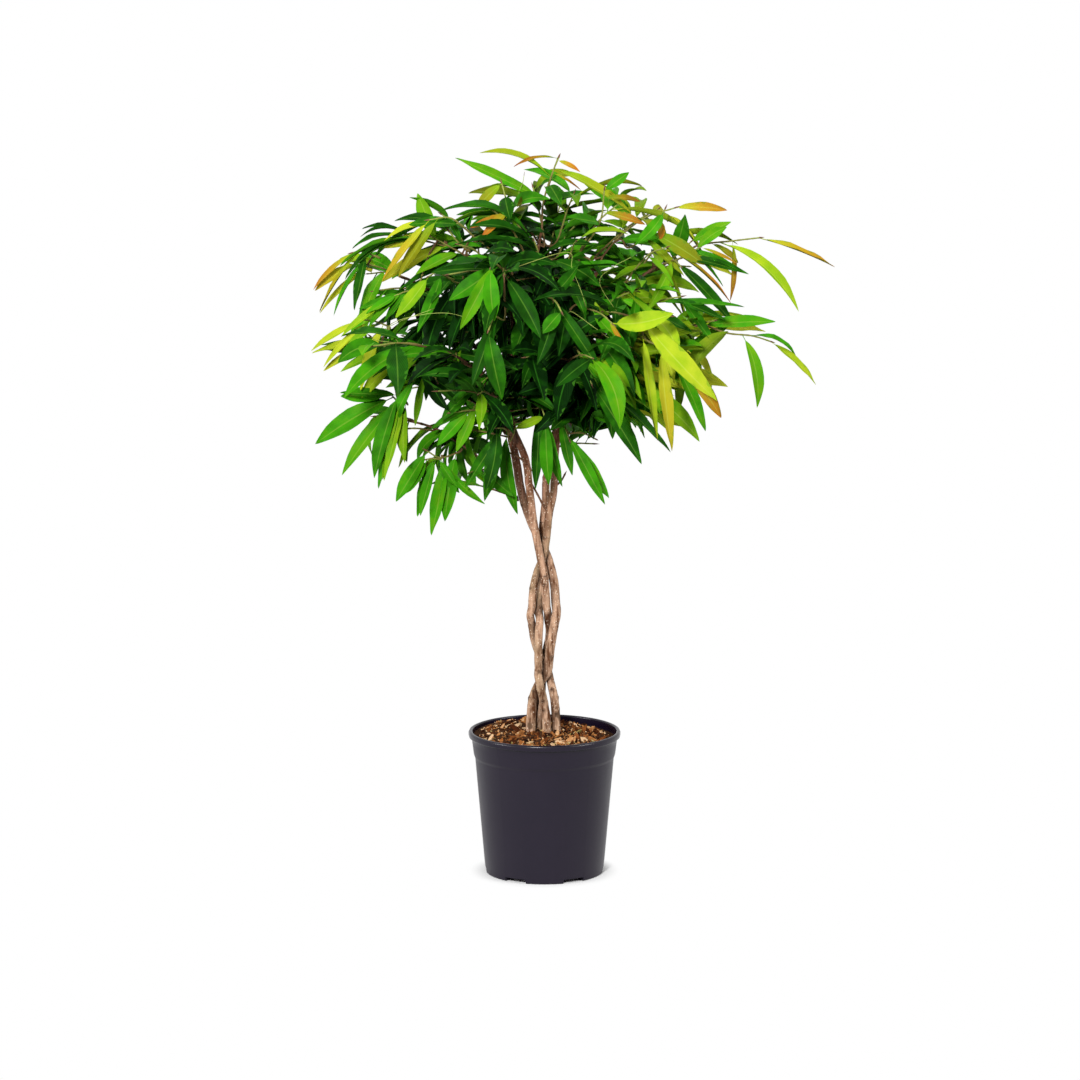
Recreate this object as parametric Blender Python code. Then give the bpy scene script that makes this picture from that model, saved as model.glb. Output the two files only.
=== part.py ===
"""Potted braided fig: four stems plaited in a round nursery pot, under a crown of long drooping leaves.

Run it with: blender --background --python part.py
Units are metres and +Z is up. The origin is the centre of the pot's underside, and -Y is the front.
"""

import math
import random
from itertools import combinations

import bmesh
import bpy
import numpy as np
from mathutils import Vector
from mathutils.bvhtree import BVHTree

UP = Vector((0, 0, 1))
GAP = 0.0003  # between any two pieces that touch

# ---- pot and potting mix
POT_HEIGHT = 0.2565
LIP_RADIUS = 0.1350  # outside of the rolled lip
LIP_HEIGHT = 0.0110
LIP_WIDTH = 0.0071
BAND_TOP_RADIUS = 0.1298  # outside of the stacking band, under the lip
BAND_FOOT_RADIUS = 0.1257
BODY_TOP_RADIUS = 0.1234  # outside of the body, under the band's step
BODY_FOOT_RADIUS = 0.1053
STEP_TOP, STEP_FOOT = 0.2130, 0.2080
WALL = 0.0020
FOOT_HEIGHT = 0.0075
FOOT_WIDTH = 0.0150
CENTRE_FOOT_RADIUS = 0.0160
FEET = 6
NOTCH_WIDTH = 0.0390
DRAIN_LENGTH, DRAIN_WIDTH = 0.0200, 0.0090
POT_SIDES = 40
SOIL_EDGE, SOIL_CROWN = 0.2430, 0.2570  # the mix is heaped round the stems

# ---- stems: radius at the soil, and where each one runs, in millimetres (across, back, up)
STEM_SIDES = 8
STEM_STEP = 0.020
STEMS = {
    "centre_stem": (0.0072, (
        (5, -6, 170), (4, -8, 263), (-2, -9, 312), (-8, -13, 340), (-11, -6, 382), (-10, -4, 440),
        (-8, 12, 497), (-5, 19, 540), (-6, 33, 578), (-2, 25, 630), (2, 15, 671), (4, 17, 710),
        (22, 40, 800), (45, 62, 880), (62, 80, 960), (70, 88, 1040))),
    "left_stem": (0.0081, (
        (-27, -2, 170), (-24, -3, 263), (-20, -1, 311), (-8, 3, 342), (5, -2, 365), (10, -7, 405),
        (17, -5, 452), (19, 2, 500), (14, 8, 536), (4, 18, 568), (-12, 13, 603), (-30, 7, 648),
        (-42, 4, 690), (-50, 6, 740), (-64, 18, 805), (-84, 32, 880), (-104, 42, 980))),
    "rear_stem": (0.0074, (
        (-8, 10, 170), (-8, 8, 262), (-5, 20, 334), (-2, 27, 360), (3, 20, 395), (9, 10, 434),
        (3, -4, 492), (0, -9, 529), (-10, -13, 584), (-20, -10, 637), (-27, -6, 697), (-34, -6, 745),
        (-58, -3, 808), (-62, -8, 880), (-50, -14, 955), (-24, -16, 1050), (-6, 4, 1142))),
    "right_stem": (0.0071, (
        (22, 3, 170), (21, 2, 262), (17, 6, 313), (6, 15, 356), (-8, 12, 387), (-20, 9, 428),
        (-22, -3, 482), (-17, -4, 527), (-3, 4, 567), (3, 1, 600), (8, -1, 645), (16, -3, 685),
        (19, -7, 750), (28, -20, 825), (46, -38, 905), (64, -44, 1005), (98, -16, 1095))),
}
STEM_TAPER = ((0.17, 1.12), (0.27, 1.10), (0.34, 1.0), (0.72, 0.90), (0.90, 0.60), (1.14, 0.30))

# ---- branches: stem, height where it leaves, bearing (0 is right, 90 is back), reach, height of its end
BRANCH_SIDES, BRANCH_RINGS = 5, 7
BRANCH_RADII = (0.0036, 0.0018)
BRANCHES = {
    "low_left": ("left_stem", 0.675, 183, 0.205, 0.815),
    "low_front": ("rear_stem", 0.780, 250, 0.120, 0.875),
    "low_right": ("right_stem", 0.790, 334, 0.104, 0.890),
    "low_back": ("centre_stem", 0.750, 80, 0.180, 0.880),
    "low_back_left": ("left_stem", 0.790, 128, 0.200, 0.910),
    "mid_left": ("left_stem", 0.800, 200, 0.190, 0.905),
    "mid_front_left": ("rear_stem", 0.830, 226, 0.190, 0.960),
    "mid_front": ("right_stem", 0.830, 276, 0.150, 0.945),
    "mid_right": ("right_stem", 0.840, 352, 0.225, 0.985),
    "mid_front_right": ("right_stem", 0.880, 305, 0.205, 1.025),
    "mid_back_right": ("centre_stem", 0.820, 38, 0.190, 0.940),
    "mid_back": ("centre_stem", 0.900, 100, 0.170, 1.020),
    "high_left": ("left_stem", 0.900, 172, 0.165, 1.060),
    "high_front": ("rear_stem", 0.950, 262, 0.130, 1.090),
    "high_right": ("right_stem", 0.930, 5, 0.180, 1.100),
    "high_back": ("centre_stem", 0.960, 118, 0.120, 1.100),
    "crest_left": ("rear_stem", 1.020, 172, 0.090, 1.095),
}

# ---- leafy shoots that grow by rule: one at the end of each branch and stem, and one at a branch's side
SHOOT_SIDES = 4
SHOOT_RADII = (0.0016, 0.0011)
SHOOT_LENGTH = (0.085, 0.135)
SHOOT_RISE = 0.30  # of its length, before it droops
SIDE_SHARE = 0.55  # how far along its branch a side shoot leaves
NO_SIDE_SHOOT = ("low_left", "crest_left")
STEM_BEARINGS = {"centre_stem": 45, "left_stem": 165}
SHOOT_LEAVES = 5
SPIRAL = math.radians(137.5)
LEAF_LENGTH = (0.115, 0.165)
LEAF_WIDTH = 0.225  # of its length
# how low leaves may hang, from the left of the crown to its right
CROWN_FLOOR = (
    (-0.45, 0.97), (-0.38, 0.94), (-0.32, 0.92), (-0.25, 0.88), (-0.21, 0.89), (-0.15, 0.88), (-0.11, 0.78),
    (-0.08, 0.77), (-0.06, 0.9), (-0.02, 0.91), (0.01, 0.82), (0.1, 0.82), (0.2, 0.83), (0.25, 0.89),
    (0.28, 0.93), (0.32, 0.98), (0.5, 1.06),
)
FLOOR_SLOPE = 0.13  # and how much higher that is at the front, per metre
CENTRE = Vector((0.03, 0.0, 0.95))  # the middle of the crown, and how far it reaches from there
CROWN = Vector((0.42, 0.42, 0.32))
OUTERMOST = 1.08  # times that reach, for the tip of a leaf that grows by rule
DROOP_FROM, DROOP_FULL = 1.15, 0.80  # between these heights leaves hang more and more
LEAF_BENDS = tuple(math.radians(a) for a in (14, 34, 56, 80))
PETIOLE = 0.09  # of the leaf's length
LEAF_THICKNESS = 0.0012
LEAF_STATIONS = (0.38, 0.74)
FOLD = 0.30
LAID_FORWARDS = 1.6  # how far leaves laid out by hand turn to the front

# ---- outlying shoots, laid out by hand in millimetres: what each grows on and how far along it, the rest
# ---- of its route, then its leaves as (how far along the shoot, leaf tip, leaf width, and which bend if it
# ---- isn't the second)
OUTLIERS = {
    "right_whip": ("mid_right", 1.0, ((280, -76, 989), (317, -82, 977), (359, -86, 973), (390, -90, 964)), (
        (0.12, (401, -66, 995), 28), (0.66, (368, -100, 849), 26, 2), (0.75, (439, -90, 931), 18, 3),
        (1.00, (470, -92, 888), 17, 1))),
    "right_arch": ("high_right", 1.0, ((268, 0, 1121), (326, -6, 1129), (373, -10, 1135)), (
        (0.45, (339, 30, 1086), 14), (0.55, (442, -40, 1009), 25, 2), (0.70, (323, -30, 1027), 11),
        (1.00, (506, -14, 1084), 17, 0))),
    "right_crest": ("right_stem", 1.0, ((128, 10, 1132), (174, 22, 1166), (226, 18, 1184)), (
        (0.30, (246, 40, 1115), 30), (0.60, (178, -60, 1163), 30), (1.00, (319, 16, 1180), 20))),
    "top_spray": ("rear_stem", 1.0, ((-3, 12, 1190), (8, 14, 1230), (22, 16, 1268)), (
        (0.43, (-156, -6, 1274), 22, 0), (0.76, (-114, 20, 1280), 18, 2), (0.88, (152, -20, 1178), 24),
        (1.00, (62, 8, 1248), 13))),
    "upper_left": ("crest_left", 1.0, ((-149, -6, 1110), (-198, -20, 1138)), (
        (0.30, (-224, -60, 1076), 28), (0.60, (-284, -40, 1061), 26), (1.00, (-281, -10, 1117), 24))),
    "left_reach": ("high_left", 1.0, ((-288, 25, 1079), (-327, 0, 1091)), (
        (0.35, (-316, -40, 1000), 26), (0.70, (-394, 14, 999), 16), (1.00, (-401, -8, 1042), 19))),
    "left_tuft": ("mid_left", 1.0, ((-259, -40, 932), (-302, -32, 964)), (
        (0.35, (-319, -50, 860), 28), (0.60, (-357, -14, 900), 20), (0.85, (-386, -40, 905), 16),
        (1.00, (-406, -30, 935), 18))),
    "left_fan": ("low_left", 1.0, ((-256, -20, 844), (-268, -44, 865)), (
        (0.35, (-290, -64, 701), 30), (0.60, (-354, -60, 724), 32), (0.85, (-401, -44, 777), 41),
        (1.00, (-357, -20, 858), 34))),
    "lower_left_fan": ("low_left", 0.6, ((-182, -20, 749), (-205, -24, 761)), (
        (0.20, (-175, -34, 638), 34), (0.50, (-199, -22, 611), 32), (0.80, (-224, 4, 640), 30),
        (1.00, (-261, -22, 671), 34))),
    "front_right_fan": ("mid_front_right", 1.0, ((169, -214, 987), (198, -224, 972), (227, -226, 953)), (
        (0.15, (293, -240, 881), 48), (0.35, (191, -262, 816), 21), (0.70, (216, -268, 799), 28),
        (0.85, (275, -206, 824), 22), (1.00, (302, -200, 846), 28))),
}

COLOURS = {  # name: base colour, roughness
    "pot_plastic": ((0.035, 0.033, 0.040), 0.45),
    "potting_mix": ((0.16, 0.075, 0.035), 0.95),
    "bark": ((0.34, 0.22, 0.14), 0.80),
    "leaf": ((0.05, 0.22, 0.02), 0.38),
}


# ---- meshes and objects
def material(name):
    colour, roughness = COLOURS[name]
    made = bpy.data.materials.get(name) or bpy.data.materials.new(name)
    made.use_nodes = True
    shader = made.node_tree.nodes["Principled BSDF"]
    shader.inputs["Base Color"].default_value = (*colour, 1)
    shader.inputs["Roughness"].default_value = roughness
    shader.inputs["Metallic"].default_value = 0.0
    return made


def add_object(name, points, faces, finish, helper=False):
    mesh = bpy.data.meshes.new(name)
    mesh.from_pydata([tuple(p) for p in points], [], faces)
    mesh.shade_smooth()
    mesh.set_sharp_from_angle(angle=math.radians(35))
    mesh.materials.append(material(finish))
    made = bpy.data.objects.new(name, mesh)
    bpy.context.scene.collection.objects.link(made)
    if helper:
        made.hide_render = True
        made.display_type = "WIRE"
    return made


def turned(profile, sides):
    """Points and faces of a profile of (radius, height) turned about Z. It starts and ends on the axis."""
    points, faces = [Vector((0, 0, profile[0][1]))], []
    for radius, height in profile[1:-1]:
        for i in range(sides):
            a = math.tau * (i + 0.5) / sides
            points.append(Vector((radius * math.cos(a), radius * math.sin(a), height)))
    points.append(Vector((0, 0, profile[-1][1])))
    rings = len(profile) - 2
    last = len(points) - 1
    for i in range(sides):
        j = (i + 1) % sides
        faces.append((0, 1 + j, 1 + i))
        for ring in range(rings - 1):
            low, high = 1 + ring * sides, 1 + (ring + 1) * sides
            faces.append((low + i, low + j, high + j, high + i))
        top = 1 + (rings - 1) * sides
        faces.append((top + i, top + j, last))
    return points, faces


def block(name, length, width, low, high):
    """A box cutter that is centred on X and Y, with its object at the origin."""
    x, y = length / 2, width / 2
    points = [(i * x, j * y, z) for z in (low, high) for i, j in ((-1, -1), (1, -1), (1, 1), (-1, 1))]
    faces = [(3, 2, 1, 0), (4, 5, 6, 7), (0, 1, 5, 4), (1, 2, 6, 5), (2, 3, 7, 6), (3, 0, 4, 7)]
    return add_object(name, points, faces, "pot_plastic", helper=True)


def cut(target, cutter):
    modifier = target.modifiers.new(cutter.name, "BOOLEAN")
    modifier.operation = "DIFFERENCE"
    modifier.solver = "EXACT"
    modifier.object = cutter


def smooth_route(points, step):
    """Points a step apart along a Catmull-Rom curve through the given ones, the ends among them."""
    ends = [2 * points[0] - points[1], *points, 2 * points[-1] - points[-2]]
    fine = []
    for a, b, c, d in zip(ends, ends[1:], ends[2:], ends[3:]):
        for i in range(16):
            t = i / 16
            fine.append(0.5 * (2 * b + (c - a) * t + (2 * a - 5 * b + 4 * c - d) * t * t
                               + (3 * b - a - 3 * c + d) * t ** 3))
    fine.append(points[-1].copy())
    return spaced(fine, step)


def spaced(route, step):
    """The same line with its points evenly spaced, near the given step."""
    walked = [0.0]
    for a, b in zip(route, route[1:]):
        walked.append(walked[-1] + (b - a).length)
    count = max(2, round(walked[-1] / step) + 1)
    return [at_distance(route, walked, walked[-1] * i / (count - 1)) for i in range(count)]


def at_distance(route, walked, distance):
    for i in range(1, len(route)):
        if walked[i] >= distance or i == len(route) - 1:
            span = walked[i] - walked[i - 1]
            share = min(1.0, (distance - walked[i - 1]) / span) if span else 0.0
            return route[i - 1].lerp(route[i], share)


def along(route, share):
    """(point, direction) at a share of the way along a route of evenly spaced points."""
    place = share * (len(route) - 1)
    i = min(int(place), len(route) - 2)
    return route[i].lerp(route[i + 1], place - i), (route[i + 1] - route[i]).normalized()


def tangents(route):
    last = len(route) - 1
    return [(route[min(i + 1, last)] - route[max(i - 1, 0)]).normalized() for i in range(len(route))]


def tube(route, radii, sides):
    """Points and quads of rings along a route, turned as little as possible between them, uncapped."""
    ahead = tangents(route)
    side = ahead[0].orthogonal().normalized()
    points, quads = [], []
    for place, forward, radius in zip(route, ahead, radii):
        side = (side - forward * side.dot(forward)).normalized()
        other = forward.cross(side)
        for i in range(sides):
            a = math.tau * i / sides
            points.append(place + (side * math.cos(a) + other * math.sin(a)) * radius)
    for ring in range(len(route) - 1):
        low, high = ring * sides, (ring + 1) * sides
        quads += [(low + i, low + (i + 1) % sides, high + (i + 1) % sides, high + i) for i in range(sides)]
    return points, quads


def capped(points, quads, sides):
    last = len(points) - sides
    return [tuple(reversed(range(sides))), *quads, tuple(range(last, last + sides))]


# ---- pot
def wall_radius(height):
    """The wall's inner radius at a height over the floor, up to the lip."""
    if height <= STEP_FOOT:
        share = height / STEP_FOOT
        return BODY_FOOT_RADIUS + (BODY_TOP_RADIUS - BODY_FOOT_RADIUS) * share - WALL
    share = max(0.0, (height - STEP_TOP) / (POT_HEIGHT - LIP_HEIGHT - STEP_TOP))
    return BAND_FOOT_RADIUS + (BAND_TOP_RADIUS - BAND_FOOT_RADIUS) * share - WALL


def pot_profile():
    lip_low, lip_in = POT_HEIGHT - LIP_HEIGHT, LIP_RADIUS - LIP_WIDTH
    corner = 0.0025
    floor = FOOT_HEIGHT + WALL
    return [
        (0, 0), (CENTRE_FOOT_RADIUS, 0), (CENTRE_FOOT_RADIUS + 0.002, FOOT_HEIGHT),
        (BODY_FOOT_RADIUS - FOOT_WIDTH - 0.002, FOOT_HEIGHT), (BODY_FOOT_RADIUS - FOOT_WIDTH, 0),
        (BODY_FOOT_RADIUS - corner, 0), (BODY_FOOT_RADIUS, corner),
        (BODY_TOP_RADIUS, STEP_FOOT), (BAND_FOOT_RADIUS, STEP_TOP), (BAND_TOP_RADIUS, lip_low),
        (LIP_RADIUS - 0.0020, lip_low + 0.0004), (LIP_RADIUS, lip_low + 0.0030),
        (LIP_RADIUS - 0.0006, POT_HEIGHT - 0.0022), (LIP_RADIUS - 0.0030, POT_HEIGHT),
        (lip_in + 0.0015, POT_HEIGHT), (lip_in, POT_HEIGHT - 0.0015), (wall_radius(lip_low), lip_low - 0.002),
        (wall_radius(STEP_TOP), STEP_TOP), (wall_radius(STEP_FOOT), STEP_FOOT),
        (wall_radius(floor), floor), (0, floor),
    ]


def make_pot():
    pot = add_object("pot", *turned(pot_profile(), POT_SIDES), "pot_plastic")
    notch = block("notch_cutter", 0.030, NOTCH_WIDTH, -0.002, FOOT_HEIGHT)
    drain = block("drain_cutter", DRAIN_WIDTH, DRAIN_LENGTH, 0.002, FOOT_HEIGHT + 2 * WALL)
    for i in range(FEET):
        bearing = math.tau * (i + 0.5) / FEET - math.pi / 2
        for cutter, radius in ((notch, BODY_FOOT_RADIUS - 0.004), (drain, BODY_FOOT_RADIUS - 0.011)):
            copy = cutter.copy()
            copy.name = f"{cutter.name}_{i + 1}"
            bpy.context.scene.collection.objects.link(copy)
            copy.location = (radius * math.cos(bearing), radius * math.sin(bearing), 0)
            copy.rotation_euler.z = bearing
            cut(pot, copy)


def soil_height(radius):
    """The heap's height at a distance from the pot's axis: flat-topped, falling to the wall."""
    share = radius / (wall_radius(SOIL_EDGE) - GAP)
    return SOIL_EDGE + (SOIL_CROWN - SOIL_EDGE) * (1 - share ** 2)


def make_potting_mix(stems):
    floor = FOOT_HEIGHT + WALL + GAP
    edge = wall_radius(SOIL_EDGE) - GAP
    profile = [(0, floor), (wall_radius(floor) - GAP, floor), (wall_radius(STEP_FOOT) - GAP, STEP_FOOT),
               (wall_radius(STEP_TOP) - GAP, STEP_TOP)]
    profile += [(edge * s, soil_height(edge * s)) for s in (1.0, 0.85, 0.62, 0.34)]
    profile += [(0, SOIL_CROWN)]
    mix = add_object("potting_mix", *turned(profile, POT_SIDES), "potting_mix")
    for name, (route, radii) in stems.items():
        buried = [p for p in route if p.z < SOIL_CROWN + 0.05]
        buried = [buried[0] - (buried[1] - buried[0]).normalized() * GAP * 2, *buried[1:]]
        wide = [r + 2 * GAP for r in radii[:len(buried)]]
        points, quads = tube(buried, wide, STEM_SIDES)
        faces = capped(points, quads, STEM_SIDES)
        hole = add_object(f"{name}_hole", points, faces, "potting_mix", helper=True)
        cut(mix, hole)


# ---- stems
def stem_radius(base, height):
    for (low, a), (high, b) in zip(STEM_TAPER, STEM_TAPER[1:]):
        if height <= high:
            return base * (a + (b - a) * (height - low) / (high - low))
    return base * STEM_TAPER[-1][1]


def ease_apart(routes, bases):
    """Moves stems that would run into each other sideways, until each pair just clears."""
    lines = {name: np.array([tuple(p) for p in route]) for name, route in routes.items()}
    for _ in range(120):
        moves = {name: np.zeros_like(line) for name, line in lines.items()}
        for a, b in combinations(lines, 2):
            away = lines[a][:, None, :] - lines[b][None, :, :]
            far = np.linalg.norm(away, axis=2)
            near = far.argmin(axis=1)
            for i, j in enumerate(near):
                height = lines[a][i][2]
                need = stem_radius(bases[a], height) + stem_radius(bases[b], height) + 6 * GAP
                if far[i, j] < need:
                    push = away[i, j] / max(far[i, j], 1e-6) * (need - far[i, j]) / 2
                    moves[a][i, :2] += push[:2]
                    moves[b][j, :2] -= push[:2]
        for name, move in moves.items():
            move[1:-1] = (move[:-2] + 2 * move[1:-1] + move[2:]) / 4
            lines[name] += move
    return {name: [Vector(p) for p in line] for name, line in lines.items()}


def stem_routes():
    """name: (route, radii), with the stems touching but clear of each other."""
    drawn = {}
    for name, (_, points) in STEMS.items():
        drawn[name] = smooth_route([Vector(p) / 1000 for p in points], 0.005)
    eased = ease_apart(drawn, {name: base for name, (base, _) in STEMS.items()})
    made = {}
    for name, route in eased.items():
        route = spaced(route, STEM_STEP)
        made[name] = route, [stem_radius(STEMS[name][0], p.z) for p in route]
    return made


def at_height(route, height):
    """(point, direction) where a rising route passes a height."""
    for a, b in zip(route, route[1:]):
        if b.z >= height:
            return a.lerp(b, (height - a.z) / (b.z - a.z)), (b - a).normalized()
    return route[-1], (route[-1] - route[-2]).normalized()


# ---- branches and shoots
def square_to(direction, forward):
    """The part of a direction that is square to forward, at length 1."""
    return (direction - forward * direction.dot(forward)).normalized()


def squarely(start, out, rest, step):
    """A route that sets off in exactly the direction out, so its first ring lies flat to what it grows on."""
    return [start, *smooth_route([start + out * 0.007, *rest], step)]


def branch_route(stems, spec):
    stem, height, bearing, reach, end_height = spec
    centre, forward = at_height(stems[stem][0], height)
    heading = Vector((math.cos(math.radians(bearing)), math.sin(math.radians(bearing)), 0))
    out = square_to(heading, forward)
    start = centre + out * (stem_radius(STEMS[stem][0], height) + 2 * GAP)
    rise = end_height - start.z
    rest = [start + heading * (reach * s) + UP * (rise * (1 - (1 - s) ** 1.7)) for s in (0.35, 0.7, 1.0)]
    return squarely(start, out, rest, (reach + rise) / BRANCH_RINGS)


def shoot_start(route, radius, share, heading):
    """Where a shoot leaves a route: at its side, or off its end, a gap clear of it."""
    place, forward = along(route, share)
    if share > 0.99:
        return place + forward * 4 * GAP, forward
    out = square_to(heading, forward)
    return place + out * (radius + 4 * GAP), out


def grown_route(start, out, heading, length, droop):
    rise = UP * length
    rest = []
    for share in (0.5, 1.0):
        lift = SHOOT_RISE * share - droop * share * share
        rest.append(start + out * 0.008 + heading * (length * share) + rise * lift)
    return squarely(start, out, rest, 0.007)


def grow_shoots(stems, branches):
    """name: route of every shoot, those laid out by hand first."""
    carriers = {name: (route, BRANCH_RADII[0]) for name, route in branches.items()}
    carriers.update({name: (route, radii[-1]) for name, (route, radii) in stems.items()})
    shoots = {}
    for name, (carrier, share, rest, _) in OUTLIERS.items():
        route, radius = carriers[carrier]
        rest = [Vector(p) / 1000 for p in rest]
        start, out = shoot_start(route, radius, share, rest[0] - along(route, share)[0])
        shoots[name] = squarely(start, out, rest, 0.007)
    rng = random.Random(7)
    taken = {carrier for carrier, share, _, _ in OUTLIERS.values() if share == 1.0}
    bearings = {**{name: spec[2] for name, spec in BRANCHES.items()}, **STEM_BEARINGS}
    for name, bearing in bearings.items():
        route, radius = carriers[name]
        for label, share, turn in (("tip", 1.0, rng.uniform(-12, 12)),
                                   ("side", SIDE_SHARE, rng.choice((-1, 1)) * rng.uniform(48, 70))):
            length, droop = rng.uniform(*SHOOT_LENGTH), rng.uniform(0.15, 0.35)
            if name in taken if label == "tip" else name in (*NO_SIDE_SHOOT, *STEMS):
                continue
            a = math.radians(bearing + turn)
            heading = Vector((math.cos(a), math.sin(a), 0))
            start, out = shoot_start(route, radius, share, heading + UP * 0.3)
            shoots[f"{name}_{label}"] = grown_route(start, out, heading, length, droop)
    return shoots


# ---- leaves
def leaf_half_width(u):
    """Half the blade's width over its widest, from its base at 0 to its drip tip at 1."""
    if not 0 < u < 1:
        return 0.0
    return 0.5 * math.sin(math.pi * u ** 0.92) ** 0.62 * (1 - 0.45 * max(0.0, (u - 0.70) / 0.30) ** 1.4)


def leaf_frame(chord, facing, roll):
    """(forward, left, normal) of a blade that faces as nearly as it can the way it is told, then rolled."""
    forward = chord.normalized()
    left = facing.cross(forward).normalized()
    normal = forward.cross(left)
    c, s = math.cos(roll), math.sin(roll)
    return forward, left * c + normal * s, normal * c - left * s


def leaf_rings(leaf, grow=0.0):
    """Rings of four points (left edge, face, right edge, back), and the tip. grow fattens it for a test."""
    seat, chord, width, bend, frame = leaf
    forward, left, normal = frame
    length, sagitta = chord.length, chord.length * math.tan(bend / 4) / 2

    def spine(u):
        return seat + forward * (u * length) + normal * (4 * sagitta * u * (1 - u))

    rings = []
    for u in (PETIOLE, *LEAF_STATIONS):
        blade = (u - PETIOLE) / (1 - PETIOLE)
        half = max(leaf_half_width(blade) * width, 0.0008) + grow
        thick = LEAF_THICKNESS / 2 + grow
        lift = normal * (FOLD * half if u > PETIOLE else 0)
        middle = spine(u)
        rings.append([middle + left * half + lift, middle + normal * thick,
                      middle - left * half + lift, middle - normal * thick])
    return rings, spine(1.0)


def facing_of(place, forwards):
    """Blades face the light: up and away from the crown's middle, and more or less to the front."""
    outward = Vector((place.x, place.y, 0.5 * (place.z - 0.9)))
    return (UP + outward * (0.7 / max(outward.length, 0.05)) - Vector((0, forwards, 0))).normalized()


def fitted_leaf(seat, tip, width, bend, roll=0.0, forwards=0.3):
    chord = tip - seat
    return seat, chord, width, bend, leaf_frame(chord, facing_of(seat + chord / 2, forwards), roll)


def outerness(place):
    """0 in the middle of the crown, 1 at its outside."""
    away = place - CENTRE
    return Vector(a / b for a, b in zip(away, CROWN)).length


def crown_floor(place):
    """How low a leaf may hang: the crown is open underneath, higher out at its sides and at the front."""
    for (left, low), (right, high) in zip(CROWN_FLOOR, CROWN_FLOOR[1:]):
        if place.x <= right:
            return low + (high - low) * max(0.0, (place.x - left) / (right - left)) - FLOOR_SLOPE * place.y
    return CROWN_FLOOR[-1][1] - FLOOR_SLOPE * place.y


def aimed(place, direction, length):
    """The tip of a leaf of this length, lifted as far as the crown's floor asks."""
    tip = place + direction * length
    lift = max(0.0, crown_floor(tip) - tip.z)
    return place + (tip + UP * lift - place).normalized() * length


def rule_leaves(route, rng):
    """(share along the shoot, leaf) for a shoot that grows by rule: a spiral of leaves that droop."""
    leaves = []
    turn = rng.uniform(0, math.tau)
    for i in range(SHOOT_LEAVES):
        share = 0.22 + 0.78 * i / (SHOOT_LEAVES - 1)
        place, forward = along(route, share)
        across = forward.cross(UP).normalized()
        above = across.cross(forward)
        a = turn + SPIRAL * i
        out = across * math.cos(a) + above * math.sin(a)
        low = max(0.0, min(1.0, (DROOP_FROM - place.z) / (DROOP_FROM - DROOP_FULL)))
        sag = rng.uniform(0.15, 0.5) + 0.70 * low
        direction = forward * rng.uniform(0.5, 0.8) + out * 0.75 - UP * sag
        direction.z = min(direction.z, 0.1)
        direction.normalize()
        length = rng.uniform(*LEAF_LENGTH)
        width = length * LEAF_WIDTH * rng.uniform(0.85, 1.15)
        bend = rng.choice(LEAF_BENDS)
        tip = aimed(place, direction, length)
        while length > 0.07 and outerness(tip) > OUTERMOST:
            length *= 0.85
            tip = aimed(place, direction, length)
        leaves.append((share, fitted_leaf(place, tip, width, bend, rng.uniform(-0.4, 0.4))))
    return leaves


def outlier_leaves(route, rows):
    leaves = []
    for share, tip, width, *bend in rows:
        place, _ = along(route, share)
        bend = LEAF_BENDS[bend[0] if bend else 1]
        leaves.append((share, fitted_leaf(place, Vector(tip) / 1000, width / 1000, bend, 0.0, LAID_FORWARDS)))
    return leaves


def leaf_tree(leaf):
    """A search tree of a leaf that is a little fatter than it is, from past its stalk to its tip."""
    rings, tip = leaf_rings(leaf, grow=0.0006)
    points = [p for ring in rings for p in ring] + [tip]
    faces = []
    for ring in range(len(rings) - 1):
        a, b = 4 * ring, 4 * ring + 4
        faces += [(a + i, a + (i + 1) % 4, b + (i + 1) % 4, b + i) for i in range(4)]
    a = 4 * (len(rings) - 1)
    faces += [(a + i, a + (i + 1) % 4, len(points) - 1) for i in range(4)]
    return BVHTree.FromPolygons(points, faces)


def tube_tree(route, radii, sides):
    points, quads = tube(route, [r + 0.0006 for r in radii], sides)
    return BVHTree.FromPolygons(points, capped(points, quads, sides))


def shoot_body(route, leaves):
    """A green twig and its leaves as one body: a leaf's stalk grows out of the twig's side, or of its end."""
    routes = [route[0], route[1]]
    seats = []
    for share, leaf in sorted(leaves, key=lambda row: row[0]):
        place, forward = along(route, min(share, 0.97))
        if share > 0.99 and forward.dot(leaf[1].normalized()) > 0:
            routes.append(route[-1])
            seats.append((None, leaf))
            continue
        reach = forward * 0.0022
        routes += [place - reach, place + reach]
        seats.append((len(routes) - 2, leaf))
    if not leaves or max(share for share, _ in leaves) < 0.95:
        routes.append(route[-1])
    count = len(routes)
    radii = [SHOOT_RADII[0] + (SHOOT_RADII[1] - SHOOT_RADII[0]) * i / (count - 1) for i in range(count)]
    points, quads = tube(routes, radii, SHOOT_SIDES)
    faces = capped(points, quads, SHOOT_SIDES)
    end_cap = len(faces) - 1
    for ring, leaf in seats:
        seat = end_cap
        if ring is not None:
            first = 1 + ring * SHOOT_SIDES
            sides = range(first, first + SHOOT_SIDES)
            centre = {k: sum((points[c] for c in faces[k]), Vector()) / 4 for k in sides}
            axis = sum(centre.values(), Vector()) / SHOOT_SIDES
            seat = max(sides, key=lambda k: (centre[k] - axis).dot(leaf[1].normalized()))
        corners = faces[seat]
        faces[seat] = None
        rings, tip = leaf_rings(leaf)
        for ring_points in rings:
            start = len(points)
            points += ring_points
            fresh = tuple(range(start, start + 4))
            corners = matched(points, corners, fresh)
            faces += [(corners[i], corners[(i + 1) % 4], fresh[(i + 1) % 4], fresh[i]) for i in range(4)]
            corners = fresh
        points.append(tip)
        faces += [(corners[i], corners[(i + 1) % 4], len(points) - 1) for i in range(4)]
    return points, [f for f in faces if f]


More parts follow.
